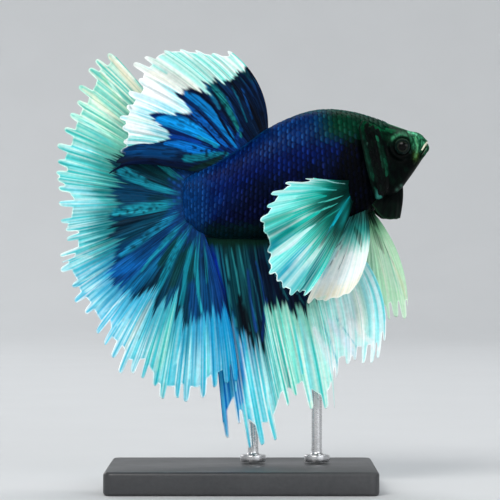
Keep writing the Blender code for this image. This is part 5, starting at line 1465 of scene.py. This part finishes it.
def dorsal_tint(fan, u, v, p, ray, to_edge):
    bound = stops(u, ((0, .76), (.02, .73), (.084, .66), (.13, .63), (.181, .59), (.216, .55), (.238, .57), (.279, .61), (.3, .61),
                      (.333, .57), (.361, .50), (.394, .49), (.408, .53), (.43, .56), (.451, .59), (.487, .61), (.515, .59),
                      (.537, .55), (.564, .52), (.599, .55), (.628, .59), (.646, .66), (.662, .71), (.685, .74), (.706, .70),
                      (.736, .68), (.754, .63), (.761, .57), (.786, .55), (.818, .59), (.846, .69), (.854, .82), (.871, .88),
                      (.901, .93), (.93, 1.15), (1, 1.4)))
    ragged = 0.08 * (streaks(fan, u, v, 1.2, 1.8, 71) - 0.5) + 0.10 * (streaks(fan, u, v, 2.8, 2.6, 72) - 0.5)
    f = ease(-0.018, 0.022, v - bound - ragged)
    inner = stops(u, ((0, srgb(4, 24, 56)), (.12, srgb(3, 18, 44)), (.25, srgb(4, 26, 56)), (.4, srgb(5, 36, 88)), (.6, srgb(6, 44, 110)),
                      (.75, srgb(6, 50, 130)), (.84, srgb(8, 48, 96)), (.92, srgb(6, 36, 74)), (1, srgb(3, 22, 40))))
    inner = mix(inner, inner * 0.4, ease(0.4, 0.8, streaks(fan, u, v, 1.1, 1.6, 73)))
    inner = paint(inner, fan, p, u, v, DORSAL_INNER, ragged=0.7)
    inner = inner * np.array((0.35, 0.86, 0.82))
    inner = mix(inner, srgb(1, 12, 34), 0.85 * flecks(fan, p, u, v, DORSAL_FLECKS, 0.46))
    inner = mix(inner, inner * 0.35, 0.7 * ease(0.60, 0.84, streaks(fan, u, v, 3.4, 2.2, 74)) * ease(.62, .30, u))
    inner = mix(inner, inner * 0.6, 0.6 * ease(0.60, 0.86, streaks(fan, u, v, 3.0, 2.0, 70)))
    inner = mix(inner, inner * 1.6 + 0.004, 0.7 * ease(0.62, 0.88, streaks(fan, u, v, 3.8, 2.4, 79)))
    # the front is black-blue with fine teal lights, most of them towards the edge
    front = ease(.34, .24, u) * ease(.15, .6, v)
    inner = mix(inner, mix(srgb(8, 44, 92), srgb(16, 84, 84), ease(.45, .75, v)), 0.75 * front * ease(0.56, 0.78, streaks(fan, u, v, 3.0, 4.0, 51)))
    inner = mix(inner, srgb(2, 10, 30), 0.8 * front * ease(0.58, 0.8, streaks(fan, u, v, 3.4, 5.0, 50)))
    inner = mix(inner, inner * 0.35, 0.75 * ease(0.60, 0.78, streaks(fan, u, v, 3.2, 12.0, 49)))
    inner = mix(inner, inner * 1.5, 0.5 * ease(0.62, 0.85, streaks(fan, u, v, 3.6, 9.0, 48)))
    web = stops(u, ((0, srgb(206, 240, 232)), (.2, srgb(206, 240, 228)), (.35, srgb(226, 242, 230)), (.5, srgb(242, 247, 240)),
                    (.65, srgb(240, 247, 250)), (.78, srgb(214, 238, 240)), (.84, srgb(160, 222, 218)), (1, srgb(130, 206, 206))))
    white = srgb(252, 253, 251) + 0 * web
    cool = stops(u, ((0, srgb(150, 220, 206)), (.35, srgb(176, 224, 212)), (.6, srgb(196, 222, 236)), (.8, srgb(150, 206, 214)), (1, srgb(110, 190, 196))))
    pale = mix(web, white, 0.8 * ease(0.45, 0.8, streaks(fan, u, v, 0.9, 1.2, 77)))
    pale = mix(pale, cool, 0.6 * ease(0.62, 0.88, streaks(fan, u, v, 1.3, 1.3, 76)))
    pale = paint(pale, fan, p, u, v, DORSAL_OUTER, 0.92, ragged=0.8)
    pale = mix(pale, srgb(146, 220, 206), 0.80 * ease(.42, .24, u) * ease(0.30, 0.62, streaks(fan, u, v, 1.1, 1.0, 45)))
    pale = mix(pale, srgb(140, 208, 224), 0.60 * ease(.22, .04, v - bound - ragged) * ease(.34, .42, u) * ease(0.35, 0.65, streaks(fan, u, v, 1.6, 1.4, 43)))
    pale = mix(pale, srgb(48, 150, 172), 0.85 * bump(u, .756, .024) * ease(.24, .04, v - bound - ragged))
    pale = deepen(pale, 0.8 + 0.3 * ease(.45, .25, u))
    pale = fine_rays(pale, fan, u, v, white, cool * 0.75, 0.9, start=0.35, pitch=0.62)
    pale = mix(pale, cool * 0.7, 0.5 * ease(0.74, 0.90, streaks(fan, u, v, 2.8, 1.7, 78)) * ease(0.92, 0.70, v))
    pale = mix(pale, cool * 0.5, 0.55 * ease(0.60, 0.82, streaks(fan, u, v, 1.7, 1.4, 59)) * ease(1.02, 0.80, v))
    return rim_line(mix(inner, pale, f), srgb(250, 252, 251) + 0 * web, fan, u, v, to_edge, 0.85 * ease(0.92, 0.82, u))


def anal_tint(fan, u, v, p, ray, to_edge):
    bound = stops(u, ((0, .36), (.037, .33), (.091, .30), (.13, .36), (.17, .40), (.194, .49), (.24, .48), (.278, .49), (.305, .55), (.357, .56),
                      (.4, .48), (.429, .37), (.479, .40), (.517, .42), (.555, .42), (.585, .455), (.606, .40), (.631, .40),
                      (.649, .385), (.671, .375), (.70, .35), (.75, .32), (.85, .30), (1, .28)))
    ragged = 0.09 * (streaks(fan, u, v, 1.0, 1.5, 81) - 0.5) + 0.09 * (streaks(fan, u, v, 2.4, 2.2, 82) - 0.5)
    ragged = ragged + 0.05 * (streaks(fan, u, v, 5.0, 2.2, 56) - 0.5)
    f = ease(-0.022, 0.030, v - bound - ragged - 0.06 * (streaks(fan, u, v, 7.0, 3.0, 47) - 0.5))
    dark = stops(u, ((0, srgb(8, 60, 130)), (.06, srgb(8, 52, 140)), (.14, srgb(6, 50, 96)), (.2, srgb(5, 56, 70)), (.3, srgb(5, 46, 62)),
                     (.4, srgb(4, 30, 52)), (.6, srgb(4, 20, 50)), (1, srgb(4, 22, 46))))
    inner = mix(dark * 0.35, dark, ease(0.25, 0.62, streaks(fan, u, v, 1.3, 1.5, 83)))
    teal = stops(u, ((0, srgb(20, 110, 180)), (.2, srgb(28, 118, 128)), (.4, srgb(20, 90, 104)), (.7, srgb(18, 66, 104)), (1, srgb(14, 56, 90))))
    inner = mix(inner, teal, 0.75 * ease(0.62, 0.86, streaks(fan, u, v, 2.2, 1.3, 84)))
    inner = paint(inner, fan, p, u, v, ANAL_INNER)
    inner = mix(inner, inner * 0.35, 0.7 * ease(0.62, 0.85, streaks(fan, u, v, 2.8, 1.8, 85)))
    inner = mix(inner, inner * 1.6 + 0.004, 0.7 * ease(0.62, 0.88, streaks(fan, u, v, 3.8, 2.2, 80)))
    inner = mix(inner, inner * 0.4, 0.6 * ease(0.60, 0.80, streaks(fan, u, v, 3.6, 9.0, 52)))
    inner = mix(inner, srgb(6, 40, 30), 0.85 * bump(v, 0.0, 0.06))
    web = stops(u, ((0, srgb(20, 120, 176)), (.08, srgb(34, 140, 190)), (.14, srgb(80, 186, 220)), (.2, srgb(150, 222, 238)), (.3, srgb(160, 226, 238)),
                    (.38, srgb(130, 220, 224)), (.45, srgb(166, 232, 214)), (.55, srgb(176, 232, 216)), (.62, srgb(130, 214, 208)), (.68, srgb(180, 234, 220)),
                    (.75, srgb(206, 246, 238)), (.85, srgb(220, 248, 246)), (1, srgb(204, 246, 250))))
    line = stops(u, ((0, srgb(70, 176, 220)), (.08, srgb(110, 200, 236)), (.2, srgb(230, 250, 254)), (.4, srgb(230, 252, 242)), (.6, srgb(246, 252, 236)),
                     (.8, srgb(248, 250, 253)), (1, srgb(250, 252, 252))))
    teal = stops(u, ((0, srgb(16, 110, 190)), (.12, srgb(20, 120, 190)), (.3, srgb(80, 190, 214)), (.45, srgb(70, 190, 170)), (.7, srgb(120, 204, 196)),
                     (.8, srgb(120, 208, 204)), (1, srgb(120, 206, 214))))
    pale = mix(web, teal, 0.85 * ease(0.52, 0.86, streaks(fan, u, v, 1.1, 1.4, 87)) * ease(1.05, .75, v))
    pale = mix(pale, line, 0.65 * ease(0.55, 0.85, streaks(fan, u, v, 1.3, 1.1, 86)))
    pale = paint(pale, fan, p, u, v, ANAL_OUTER, 0.92)
    pale = mix(pale, srgb(240, 234, 210), 0.55 * ease(0.72, 0.88, streaks(fan, u, v, 0.9, 0.9, 88)) * ease(.42, .5, u) * ease(.95, .7, v))
    pale = deepen(pale, 1.15 - 0.45 * ease(0.68, 0.82, u))
    belt = stops(u, ((0, srgb(16, 118, 184)), (.2, srgb(22, 132, 182)), (.34, srgb(30, 128, 146)), (.42, srgb(90, 186, 170)), (.5, srgb(116, 206, 186)), (.6, srgb(116, 200, 178)),
                     (.72, srgb(130, 212, 196)), (1, srgb(150, 220, 220))))
    reach = v - bound - 1.5 * ragged
    pale = mix(belt, pale, ease(0.02, 0.22, reach - 0.12 * (streaks(fan, u, v, 3.4, 1.6, 53) - 0.5)))
    pale = fine_rays(pale, fan, u, v, line, deepen(teal * 0.8, 1 - 0.6 * ease(0.68, 0.82, u)),
                     (1.0 - 0.35 * ease(0.68, 0.82, u)) * (0.35 + 0.65 * ease(0.03, 0.20, reach)), start=0.25, pitch=0.6)
    pale = mix(pale, teal * 0.4, (0.6 - 0.35 * ease(0.68, 0.82, u)) * ease(0.72, 0.90, streaks(fan, u, v, 2.4, 1.4, 89)) * ease(0.92, 0.55, v))
    rim = srgb(246, 253, 253) + 0 * web
    return rim_line(mix(inner, pale, f), rim, fan, u, v, to_edge, 0.9)


def pectoral_tint(fan, u, v, p, ray, to_edge):
    shift = stops(u, ((0, -.06), (.12, -.1), (.22, -.17), (.30, -.12), (.36, -.06), (.41, .0), (.46, .04), (.53, .02), (.60, -.12), (.66, -.06), (.72, -.03),
                      (.78, .02), (.85, .06), (.92, .12), (1, .2)))
    q = v - shift + 0.10 * (streaks(fan, u, v, 0.9, 1.6, 91) - 0.5) + 0.07 * (streaks(fan, u, v, 2.2, 2.0, 92) - 0.5)
    c = stops(q, ((0, srgb(2, 18, 17)), (.14, srgb(2, 28, 25)), (.28, srgb(3, 52, 44)), (.40, srgb(6, 106, 92)), (.52, srgb(14, 166, 146)),
                  (.64, srgb(50, 200, 182)), (.76, srgb(132, 228, 216)), (.88, srgb(170, 236, 228)), (1.0, srgb(196, 242, 238))))
    c = paint(c, fan, p, u, v, PECTORAL_INNER, 0.85, ragged=1.0, taper=True)
    line = mix(srgb(12, 92, 80), srgb(222, 250, 246), ease(.28, .70, v))
    gap = mix(srgb(2, 30, 27), srgb(24, 160, 160), ease(.2, .6, v))
    c = c * (1 - 0.42 * bump(u, .56, .05) * ease(.52, .38, v) - 0.32 * bump(u, .68, .075) * ease(.45, .7, v))[..., None]
    c = deepen(c, 1.0)
    c = fine_rays(c, fan, u, v, line, gap, 0.55, start=0.08, pitch=0.50, bold=0.45)
    c = mix(c, c * 0.45, .6 * ease(.66, .86, streaks(fan, u, v, 2.2, 1.4, 93)) * ease(.75, .35, v))
    c = mix(c, srgb(246, 254, 252), .45 * ease(.62, .86, streaks(fan, u, v, 1.5, 1.2, 96)) * ease(.4, .6, v))
    c = mix(c, srgb(12, 116, 116), .92 * bump(u, .66, .08) * bump(v, .10, .10) + .75 * bump(u, .83, .06) * bump(v, .19, .10))
    # broad teal bands that run right out to the edge
    loose = 0.45 + 0.75 * ease(.25, .6, streaks(fan, u, v, 3.2, 1.4, 97))
    for colour, k, at, wide, v0, v1 in ((srgb(1, 118, 110), 1.1, .472, .052, .50, .72), (srgb(2, 128, 146), .9, .502, .022, .80, .92),
                                        (srgb(4, 100, 108), 1.0, .795, .042, .50, .80), (srgb(8, 152, 176), .95, .655, .036, .66, .86),
                                        (srgb(40, 176, 184), .7, .732, .020, .60, .80), (srgb(12, 156, 140), .7, .40, .022, .50, .75)):
        c = mix(c, colour, np.clip(k * loose, 0, .97) * bump(u, at, wide) * ease(v0, v1, v))
    return rim_line(c, srgb(240, 255, 252) + 0 * c, fan, u, v, to_edge, 0.8 - 0.35 * bump(u, .475, .05) - 0.4 * bump(u, .80, .05))


def paddle_tint(fan, u, v, p, ray, to_edge):
    q = v + 0.12 * (streaks(fan, u, v, 1.6, 1.6, 101) - 0.5)
    c = stops(q, ((0, srgb(4, 18, 16)), (.12, srgb(4, 52, 52)), (.24, srgb(12, 124, 118)), (.38, srgb(84, 196, 184)), (.56, srgb(232, 250, 244)),
                  (.80, srgb(244, 252, 250)), (.92, srgb(240, 240, 222)), (1.0, srgb(236, 232, 208))))
    c = paint(c, fan, p, u, v, PADDLE_INNER, 0.9, ragged=0.7, taper=True)
    line = mix(srgb(70, 170, 160), srgb(255, 255, 252), ease(.2, .5, v))
    gap = mix(srgb(6, 40, 40), srgb(190, 226, 228), ease(.25, .5, v))
    c = fine_rays(c, fan, u, v, line, gap, 0.7, start=0.1, pitch=0.62)
    c = mix(c, srgb(5, 26, 20), .75 * ease(.8, .97, u) * ease(.45, .2, v))
    # the pale edge, with a painted rim highlight
    return mix(c, srgb(250, 252, 244), .65 * ease(.24, .06, to_edge))


def sabre_tint(fan, u, v, p, ray, to_edge):
    q = v + 0.14 * (streaks(fan, u, v, 1.6, 1.4, 111) - 0.5)
    c = stops(q, ((0, srgb(4, 20, 16)), (.06, srgb(16, 64, 46)), (.13, srgb(124, 192, 146)), (.28, srgb(186, 240, 196)), (.7, srgb(190, 242, 198)),
                  (1.0, srgb(206, 250, 214))))
    c = paint(c, fan, p, u, v, SABRE_INNER, 0.7, ragged=0.8, taper=True)
    line = mix(srgb(150, 210, 170), srgb(252, 255, 240), ease(.12, .35, v))
    gap = mix(srgb(30, 96, 68), srgb(140, 214, 170), ease(.06, .28, v))
    c = fine_rays(c, fan, u, v, line, gap, 0.7, start=0.1, pitch=0.5, bold=0.6)
    c = c * (0.82 + 0.34 * ease(.5, .85, u))[..., None]
    # the pale edge, with a painted rim highlight
    return mix(c, srgb(236, 255, 236), .65 * ease(.24, .06, to_edge))


def rise(v, power):
    return np.maximum(v, 0.0) ** power


def build_fins():
    dark = fin_material("fin_dorsal")
    tail = fin_material("fin_tail")
    anal = fin_material("fin_anal")
    soft = fin_material("fin_soft", shade=(0.90, 1.08))
    fan = Fan(DORSAL, DORSAL_EDGE,
              lambda u, v: -(0.2 + 2.9 * u ** 1.5) * rise(v, 1.2) - 0.55 * ease(0.8, 1.0, u)
              + 0.5 * np.sin(2 * np.pi * 2.2 * u + 0.6) * rise(v, 1.6), 3, late=True)
    build_fin("dorsal", ["dorsal_fin"], fan, dorsal_tint, dark, rows=110, outer_rows=12, pleat=0.10)
    fan = Fan(CAUDAL, CAUDAL_EDGE,
              lambda u, v: (1.4 - 2.4 * u) * rise(v, 1.1) + 0.3 * (1 - np.minimum(1.0, u / 0.12)) - 0.45 * ease(0.75, 0.95, u)
              + 0.75 * np.sin(2 * np.pi * 3.6 * u + 0.4) * rise(v, 1.7), 5)
    build_fin("tail_fin", ["caudal_fin"], fan, caudal_tint, tail, rows=62, outer_rows=14)
    fan = Fan(ANAL, ANAL_EDGE,
              lambda u, v: 0.6 * (1 - np.minimum(1.0, u / 0.3)) + 1.3 * (1 - np.minimum(1.0, u / 0.35)) ** 2 * rise(v, 1.0)
              + 0.7 * np.sin(2 * np.pi * 2.4 * u + 2.0) * rise(v, 1.6) * np.minimum(1.0, 4 * u + 0.2), 8)
    build_fin("anal", ["anal_fin"], fan, anal_tint, anal, rows=110, outer_rows=22, pleat=0.10)
    for word, sign in (("right", RIGHT), ("left", LEFT)):
        fan = Fan(PECTORAL, PECTORAL_EDGE,
                  lambda u, v, sign=sign: sign * (3.4 + 3.0 * (1 - np.exp(-np.maximum(v, 0.0) / 0.13)) + 3.8 * v
                                                  + 0.5 * np.sin(2 * np.pi * 1.6 * u) * rise(v, 1.5)), 11)
        build_fin(f"pectoral_{word}", [f"pectoral_fin_{word}"], fan, pectoral_tint, soft, rows=84,
                  outer_rows=8, embed=0.75, pleat=0.05, thin=0.045, ridge=0.035, root_thick=0.42, root_run=0.09)
    fan = Fan(PADDLE, PADDLE_EDGE,
              lambda u, v: -1.7 - 3.4 * rise(v, 0.9) + 0.4 * np.sin(5 * u + 1) * rise(v, 1.5), 14)
    build_fin("pelvic_right", ["pelvic_fin_right"], fan, paddle_tint, soft, rows=84, outer_rows=8, pleat=0.04,
              ridge=0.03, root_thick=0.34)
    fan = Fan(SABRE, SABRE_EDGE,
              lambda u, v: 1.7 + 2.6 * rise(v, 0.9) + 0.3 * np.sin(5 * u) * rise(v, 1.5), 17)
    build_fin("pelvic_left", ["pelvic_fin_left"], fan, sabre_tint, soft, rows=96, outer_rows=12, pleat=0.05,
              ridge=0.035, root_thick=0.34)


# ---------------------------------------------------------------- eyes
def build_eyes():
    m, nt, sh = nodes_of("eye_wet")
    xyz = node(nt, "ShaderNodeTexCoord").outputs["Object"]
    fine = noise(nt, xyz, 2600.0, 4.0)
    tinted(nt, sh, fine, 0.75, 1.25)
    nt.links.new(spread(nt, fine, 0.10, 0.22), sh.inputs["Roughness"])
    sh.inputs["Specular IOR Level"].default_value = 0.06
    sh.inputs["Coat Weight"].default_value = 0.09
    sh.inputs["Coat Roughness"].default_value = 0.02
    rows, cols = 73, 96
    th = np.linspace(0.0, np.pi, rows)[:, None] * np.ones((1, cols))
    ph = np.linspace(0, 2 * np.pi, cols, endpoint=False)[None] * np.ones((rows, 1))
    for word, sign in (("right", RIGHT), ("left", LEFT)):
        # the cornea bulges a little over the iris; the ball is sunk in the head
        r = EYE_R * (1 + 0.035 * ease(math.radians(52), math.radians(20), th))
        local = np.stack([np.sin(th) * np.cos(ph), sign * np.cos(th), np.sin(th) * np.sin(ph)], -1) * r[..., None]
        centre = np.array((EYE_X, sign * EYE_OUT, EYE_Z))
        co = swept(local + centre)
        deg = np.degrees(th)
        spoke = clouds(ph * 9.0, deg / 9.0, 121)
        pupil = ease(23.5, 21.5, deg)
        c = mix(srgb(5, 9, 9), srgb(16, 26, 22), ease(0.35, 0.7, spoke))
        c = mix(c, srgb(44, 52, 36), 0.6 * bump(deg, 27.0, 2.0) * (0.5 + 0.6 * spoke))
        c = mix(c, srgb(10, 28, 28), 0.6 * bump(deg, 38.0, 4.0))
        c = mix(c, srgb(26, 44, 36), 0.5 * bump(deg, 45.0, 1.6))
        c = mix(c, srgb(3, 4, 5), ease(47.0, 52.0, deg))
        # painted highlight: a pale crescent on the upper edge of the eyeball
        upper = ease(0.2, 0.9, np.sin(ph)) * bump(deg, 50.0, 5.0)
        c = mix(c, srgb(60, 84, 66), 0.5 * upper)
        c = mix(c, srgb(1, 1.5, 2), pupil)
        n = rows * cols
        idx = np.arange(n).reshape(rows, cols)
        # poles as single points
        body = grid_faces(rows - 2, cols, wrap=True)
        flat = co[1:-1].reshape(-1, 3)
        tint = c[1:-1].reshape(-1, 3)
        co2 = np.concatenate([flat, co[0, :1], co[-1, :1]])
        tint2 = np.concatenate([tint, c[0, :1], c[-1, :1]])
        k = len(flat)
        j = np.arange(cols)
        caps = np.stack([np.full(cols, k), (j + 1) % cols, j], -1)
        caps2 = np.stack([np.full(cols, k + 1), (rows - 3) * cols + j, (rows - 3) * cols + (j + 1) % cols], -1)
        ob = make_mesh(f"eyeball_{word}", co2, outward(co2, [body, np.concatenate([caps, caps2])]), tint2)
        ob.data.materials.append(m)
        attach(ob, "root")
        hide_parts(f"eye_{word}")


# ---------------------------------------------------------------- the stand
def build_stand():
    import bmesh
    m, nt, sh = nodes_of("stand_paint")
    xyz = node(nt, "ShaderNodeTexCoord").outputs["Object"]
    speck = noise(nt, xyz, 1400.0, 4.0)
    broad = noise(nt, xyz, 60.0, 3.0)
    ramp = node(nt, "ShaderNodeValToRGB")
    ramp.color_ramp.elements[0].position, ramp.color_ramp.elements[1].position = 0.35, 0.68
    ramp.color_ramp.elements[0].color = (0.030, 0.031, 0.034, 1)
    ramp.color_ramp.elements[1].color = (0.046, 0.047, 0.050, 1)
    nt.links.new(value(nt, "MULTIPLY", value(nt, "ADD", speck, broad), 0.5), ramp.inputs[0])
    nt.links.new(ramp.outputs[0], sh.inputs["Base Color"])
    nt.links.new(spread(nt, broad, 0.36, 0.50), sh.inputs["Roughness"])
    bumped(nt, sh, speck, 0.02)

    steel, nt, sh = nodes_of("stand_steel")
    xyz = node(nt, "ShaderNodeTexCoord").outputs["Object"]
    turned = noise(nt, scaled(nt, xyz, (900.0, 900.0, 2600.0)), 1.0, 4.0)
    ramp = node(nt, "ShaderNodeValToRGB")
    ramp.color_ramp.elements[0].position, ramp.color_ramp.elements[1].position = 0.3, 0.7
    ramp.color_ramp.elements[0].color = (0.57, 0.57, 0.58, 1)
    ramp.color_ramp.elements[1].color = (0.62, 0.62, 0.625, 1)
    nt.links.new(turned, ramp.inputs[0])
    nt.links.new(ramp.outputs[0], sh.inputs["Base Color"])
    nt.links.new(spread(nt, turned, 0.24, 0.32), sh.inputs["Roughness"])
    sh.inputs["Metallic"].default_value = 1.0
    bumped(nt, sh, turned, 0.0008)

    lo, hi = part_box("stand_base")
    bm = bmesh.new()
    bmesh.ops.create_cube(bm, size=1.0)
    for v in bm.verts:
        v.co = Vector((lo[k] + (hi[k] - lo[k]) * (v.co[k] + 0.5) for k in range(3)))
    upright = [e for e in bm.edges if abs(e.verts[0].co.z - e.verts[1].co.z) > 1e-4]
    bmesh.ops.bevel(bm, geom=upright, offset=1.6 * MM, segments=10, profile=0.5, affect="EDGES")
    flat = [e for e in bm.edges if len(e.link_faces) == 2 and abs(e.calc_face_angle(0)) > 1.2]
    bmesh.ops.bevel(bm, geom=flat, offset=0.6 * MM, segments=6, profile=0.5, affect="EDGES")
    me = bpy.data.meshes.new("stand_foot")
    bm.to_mesh(me)
    bm.free()
    me.shade_smooth()
    me.set_sharp_from_angle(angle=math.radians(35))
    base = bpy.data.objects.new("stand_foot", me)
    bpy.context.scene.collection.objects.link(base)
    me.materials.append(m)
    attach(base, "root")
    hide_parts("stand_base")

    for word in ("front", "rear"):
        lo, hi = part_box(f"stand_rod_{word}")
        cx, cy = (lo[0] + hi[0]) / 2 / MM, (lo[1] + hi[1]) / 2 / MM
        z0, top = lo[2] / MM, hi[2] / MM + 0.6
        prof = [(0.02, top - 0.02), (0.6, top - 0.02), (0.86, top - 0.12), (0.9, top - 0.3), (0.9, z0 + 3.2), (0.92, z0 + 2.2)]
        for k in np.linspace(0, 1, 9):
            ang = k * math.pi / 2
            prof.append((0.92 + 0.55 * (1 - math.cos(ang)), z0 + 1.75 - 0.55 * math.sin(ang)))
        for k in np.linspace(0, 1, 7):
            ang = k * math.pi / 2
            prof.append((2.0 + 0.2 * math.sin(ang), z0 + 1.2 - 0.2 * (1 - math.cos(ang)) - 0.0))
        prof += [(2.2, z0 + 0.55), (2.2, z0 + 0.12), (2.1, z0), (1.0, z0), (0.02, z0)]
        prof = np.array(prof)
        n = 72
        ang = 2 * np.pi * np.arange(n) / n
        co = np.stack([cx + prof[:, :1] * np.cos(ang), cy + prof[:, :1] * np.sin(ang), prof[:, 1:] + 0 * ang[None]], -1)
        rows = len(prof)
        k = rows * n
        flat = np.concatenate([co.reshape(-1, 3), [[cx, cy, top - 0.02]], [[cx, cy, z0]]])
        j = np.arange(n)
        caps = np.concatenate([np.stack([np.full(n, k), j, (j + 1) % n], -1),
                               np.stack([np.full(n, k + 1), (rows - 1) * n + (j + 1) % n, (rows - 1) * n + j], -1)])
        ob = make_mesh(f"stand_post_{word}", flat, outward(flat, [grid_faces(rows, n, wrap=True), caps]), np.full((len(flat), 3), 0.5))
        ob.data.set_sharp_from_angle(angle=math.radians(40))
        ob.data.materials.append(steel)
        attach(ob, "root")
        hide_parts(f"stand_rod_{word}")


# ---------------------------------------------------------------- floor, light and camera
def build_stage():
    m, nt, sh = nodes_of("studio_grey")
    xyz = node(nt, "ShaderNodeTexCoord").outputs["Object"]
    n = noise(nt, xyz, 30.0, 2.0)
    ramp = node(nt, "ShaderNodeValToRGB")
    ramp.color_ramp.elements[0].color = (0.60, 0.61, 0.62, 1)
    ramp.color_ramp.elements[1].color = (0.63, 0.64, 0.65, 1)
    nt.links.new(n, ramp.inputs[0])
    nt.links.new(ramp.outputs[0], sh.inputs["Base Color"])
    sh.inputs["Roughness"].default_value = 0.85
    sh.inputs["Specular IOR Level"].default_value = 0.2
    # a wide floor that curves up into a low round backdrop on every side
    prof = [(0.0, 0.0), (300.0, 0.0), (800.0, 0.0)]
    for k in np.linspace(0, 1, 14)[1:]:
        ang = k * math.pi / 2
        prof.append((800 + 400 * math.sin(ang), 400 * (1 - math.cos(ang))))
    prof.append((1200.0, 900.0))
    prof = np.array(prof)
    n = 96
    ang = 2 * np.pi * np.arange(n) / n
    co = np.stack([prof[1:, :1] * np.cos(ang), prof[1:, :1] * np.sin(ang), prof[1:, 1:] + 0 * ang[None]], -1).reshape(-1, 3)
    k = len(co)
    j = np.arange(n)
    co = np.concatenate([co, [[0.0, 0.0, 0.0]]])
    floor = make_mesh("floor", co, [grid_faces(len(prof) - 1, n, wrap=True, flip=True), np.stack([np.full(n, k), j, (j + 1) % n], -1)],
                      np.full((len(co), 3), 0.7))
    floor.data.materials.append(m)

    def area(name, place, size, power, colour, aim=(0.0, 0.0, 0.045)):
        light = bpy.data.lights.new(name, "AREA")
        light.shape, light.size, light.size_y = "RECTANGLE", size[0], size[1]
        light.energy, light.color = power, colour
        ob = bpy.data.objects.new(name, light)
        bpy.context.scene.collection.objects.link(ob)
        ob.location = place
        ob.rotation_euler = (Vector(aim) - Vector(place)).to_track_quat("-Z", "Y").to_euler()
        ob.visible_camera = False
        return ob

    area("key", (-0.42, -0.86, 0.84), (0.55, 0.45), 9.0, (1.0, 0.985, 0.96))
    area("fill", (0.66, -0.86, 0.26), (0.80, 0.60), 5.6, (0.94, 0.97, 1.0))
    area("top", (0.10, 0.42, 0.98), (0.70, 0.50), 5.5, (0.95, 0.98, 1.0))
    area("back", (-0.60, 0.84, 0.45), (0.60, 0.60), 2.6, (1.0, 1.0, 1.0))
    world = bpy.data.worlds.new("studio")
    bpy.context.scene.world = world
    world.use_nodes = True
    world.node_tree.nodes["Background"].inputs[0].default_value = (0.90, 0.94, 1.0, 1.0)
    world.node_tree.nodes["Background"].inputs[1].default_value = 0.16

    cam = bpy.data.cameras.new("camera")
    cam.lens, cam.sensor_width = 200.0, 36.0
    cam.clip_start, cam.clip_end = 0.02, 10.0
    ob = bpy.data.objects.new("camera", cam)
    bpy.context.scene.collection.objects.link(ob)
    # the frame is 86 mm wide at the fish
    distance = 0.086 * cam.lens / cam.sensor_width
    ob.location = (0.00146, -distance, 0.0409)
    ob.rotation_euler = (math.radians(90), 0.0, 0.0)
    bpy.context.scene.camera = ob
    bpy.context.scene.view_settings.view_transform = "Standard"


build_stage()
hide = hide_material("hide_dark", rough=(0.36, 0.52), specular=0.03, grain=1500.0, depth=0.03, shade=(0.8, 1.2))
scale_mat = hide_material("scale_blue", rough=(0.32, 0.46), specular=0.03, grain=1800.0, depth=0.015, shade=(0.82, 1.2))
scale_head = hide_material("scale_green", rough=(0.38, 0.52), specular=0.05, grain=1800.0, depth=0.02, shade=(0.8, 1.2))
build_skin(hide)
build_scales(scale_mat, scale_head)
build_fins()
build_eyes()
build_stand()

bpy.context.view_layer.update()
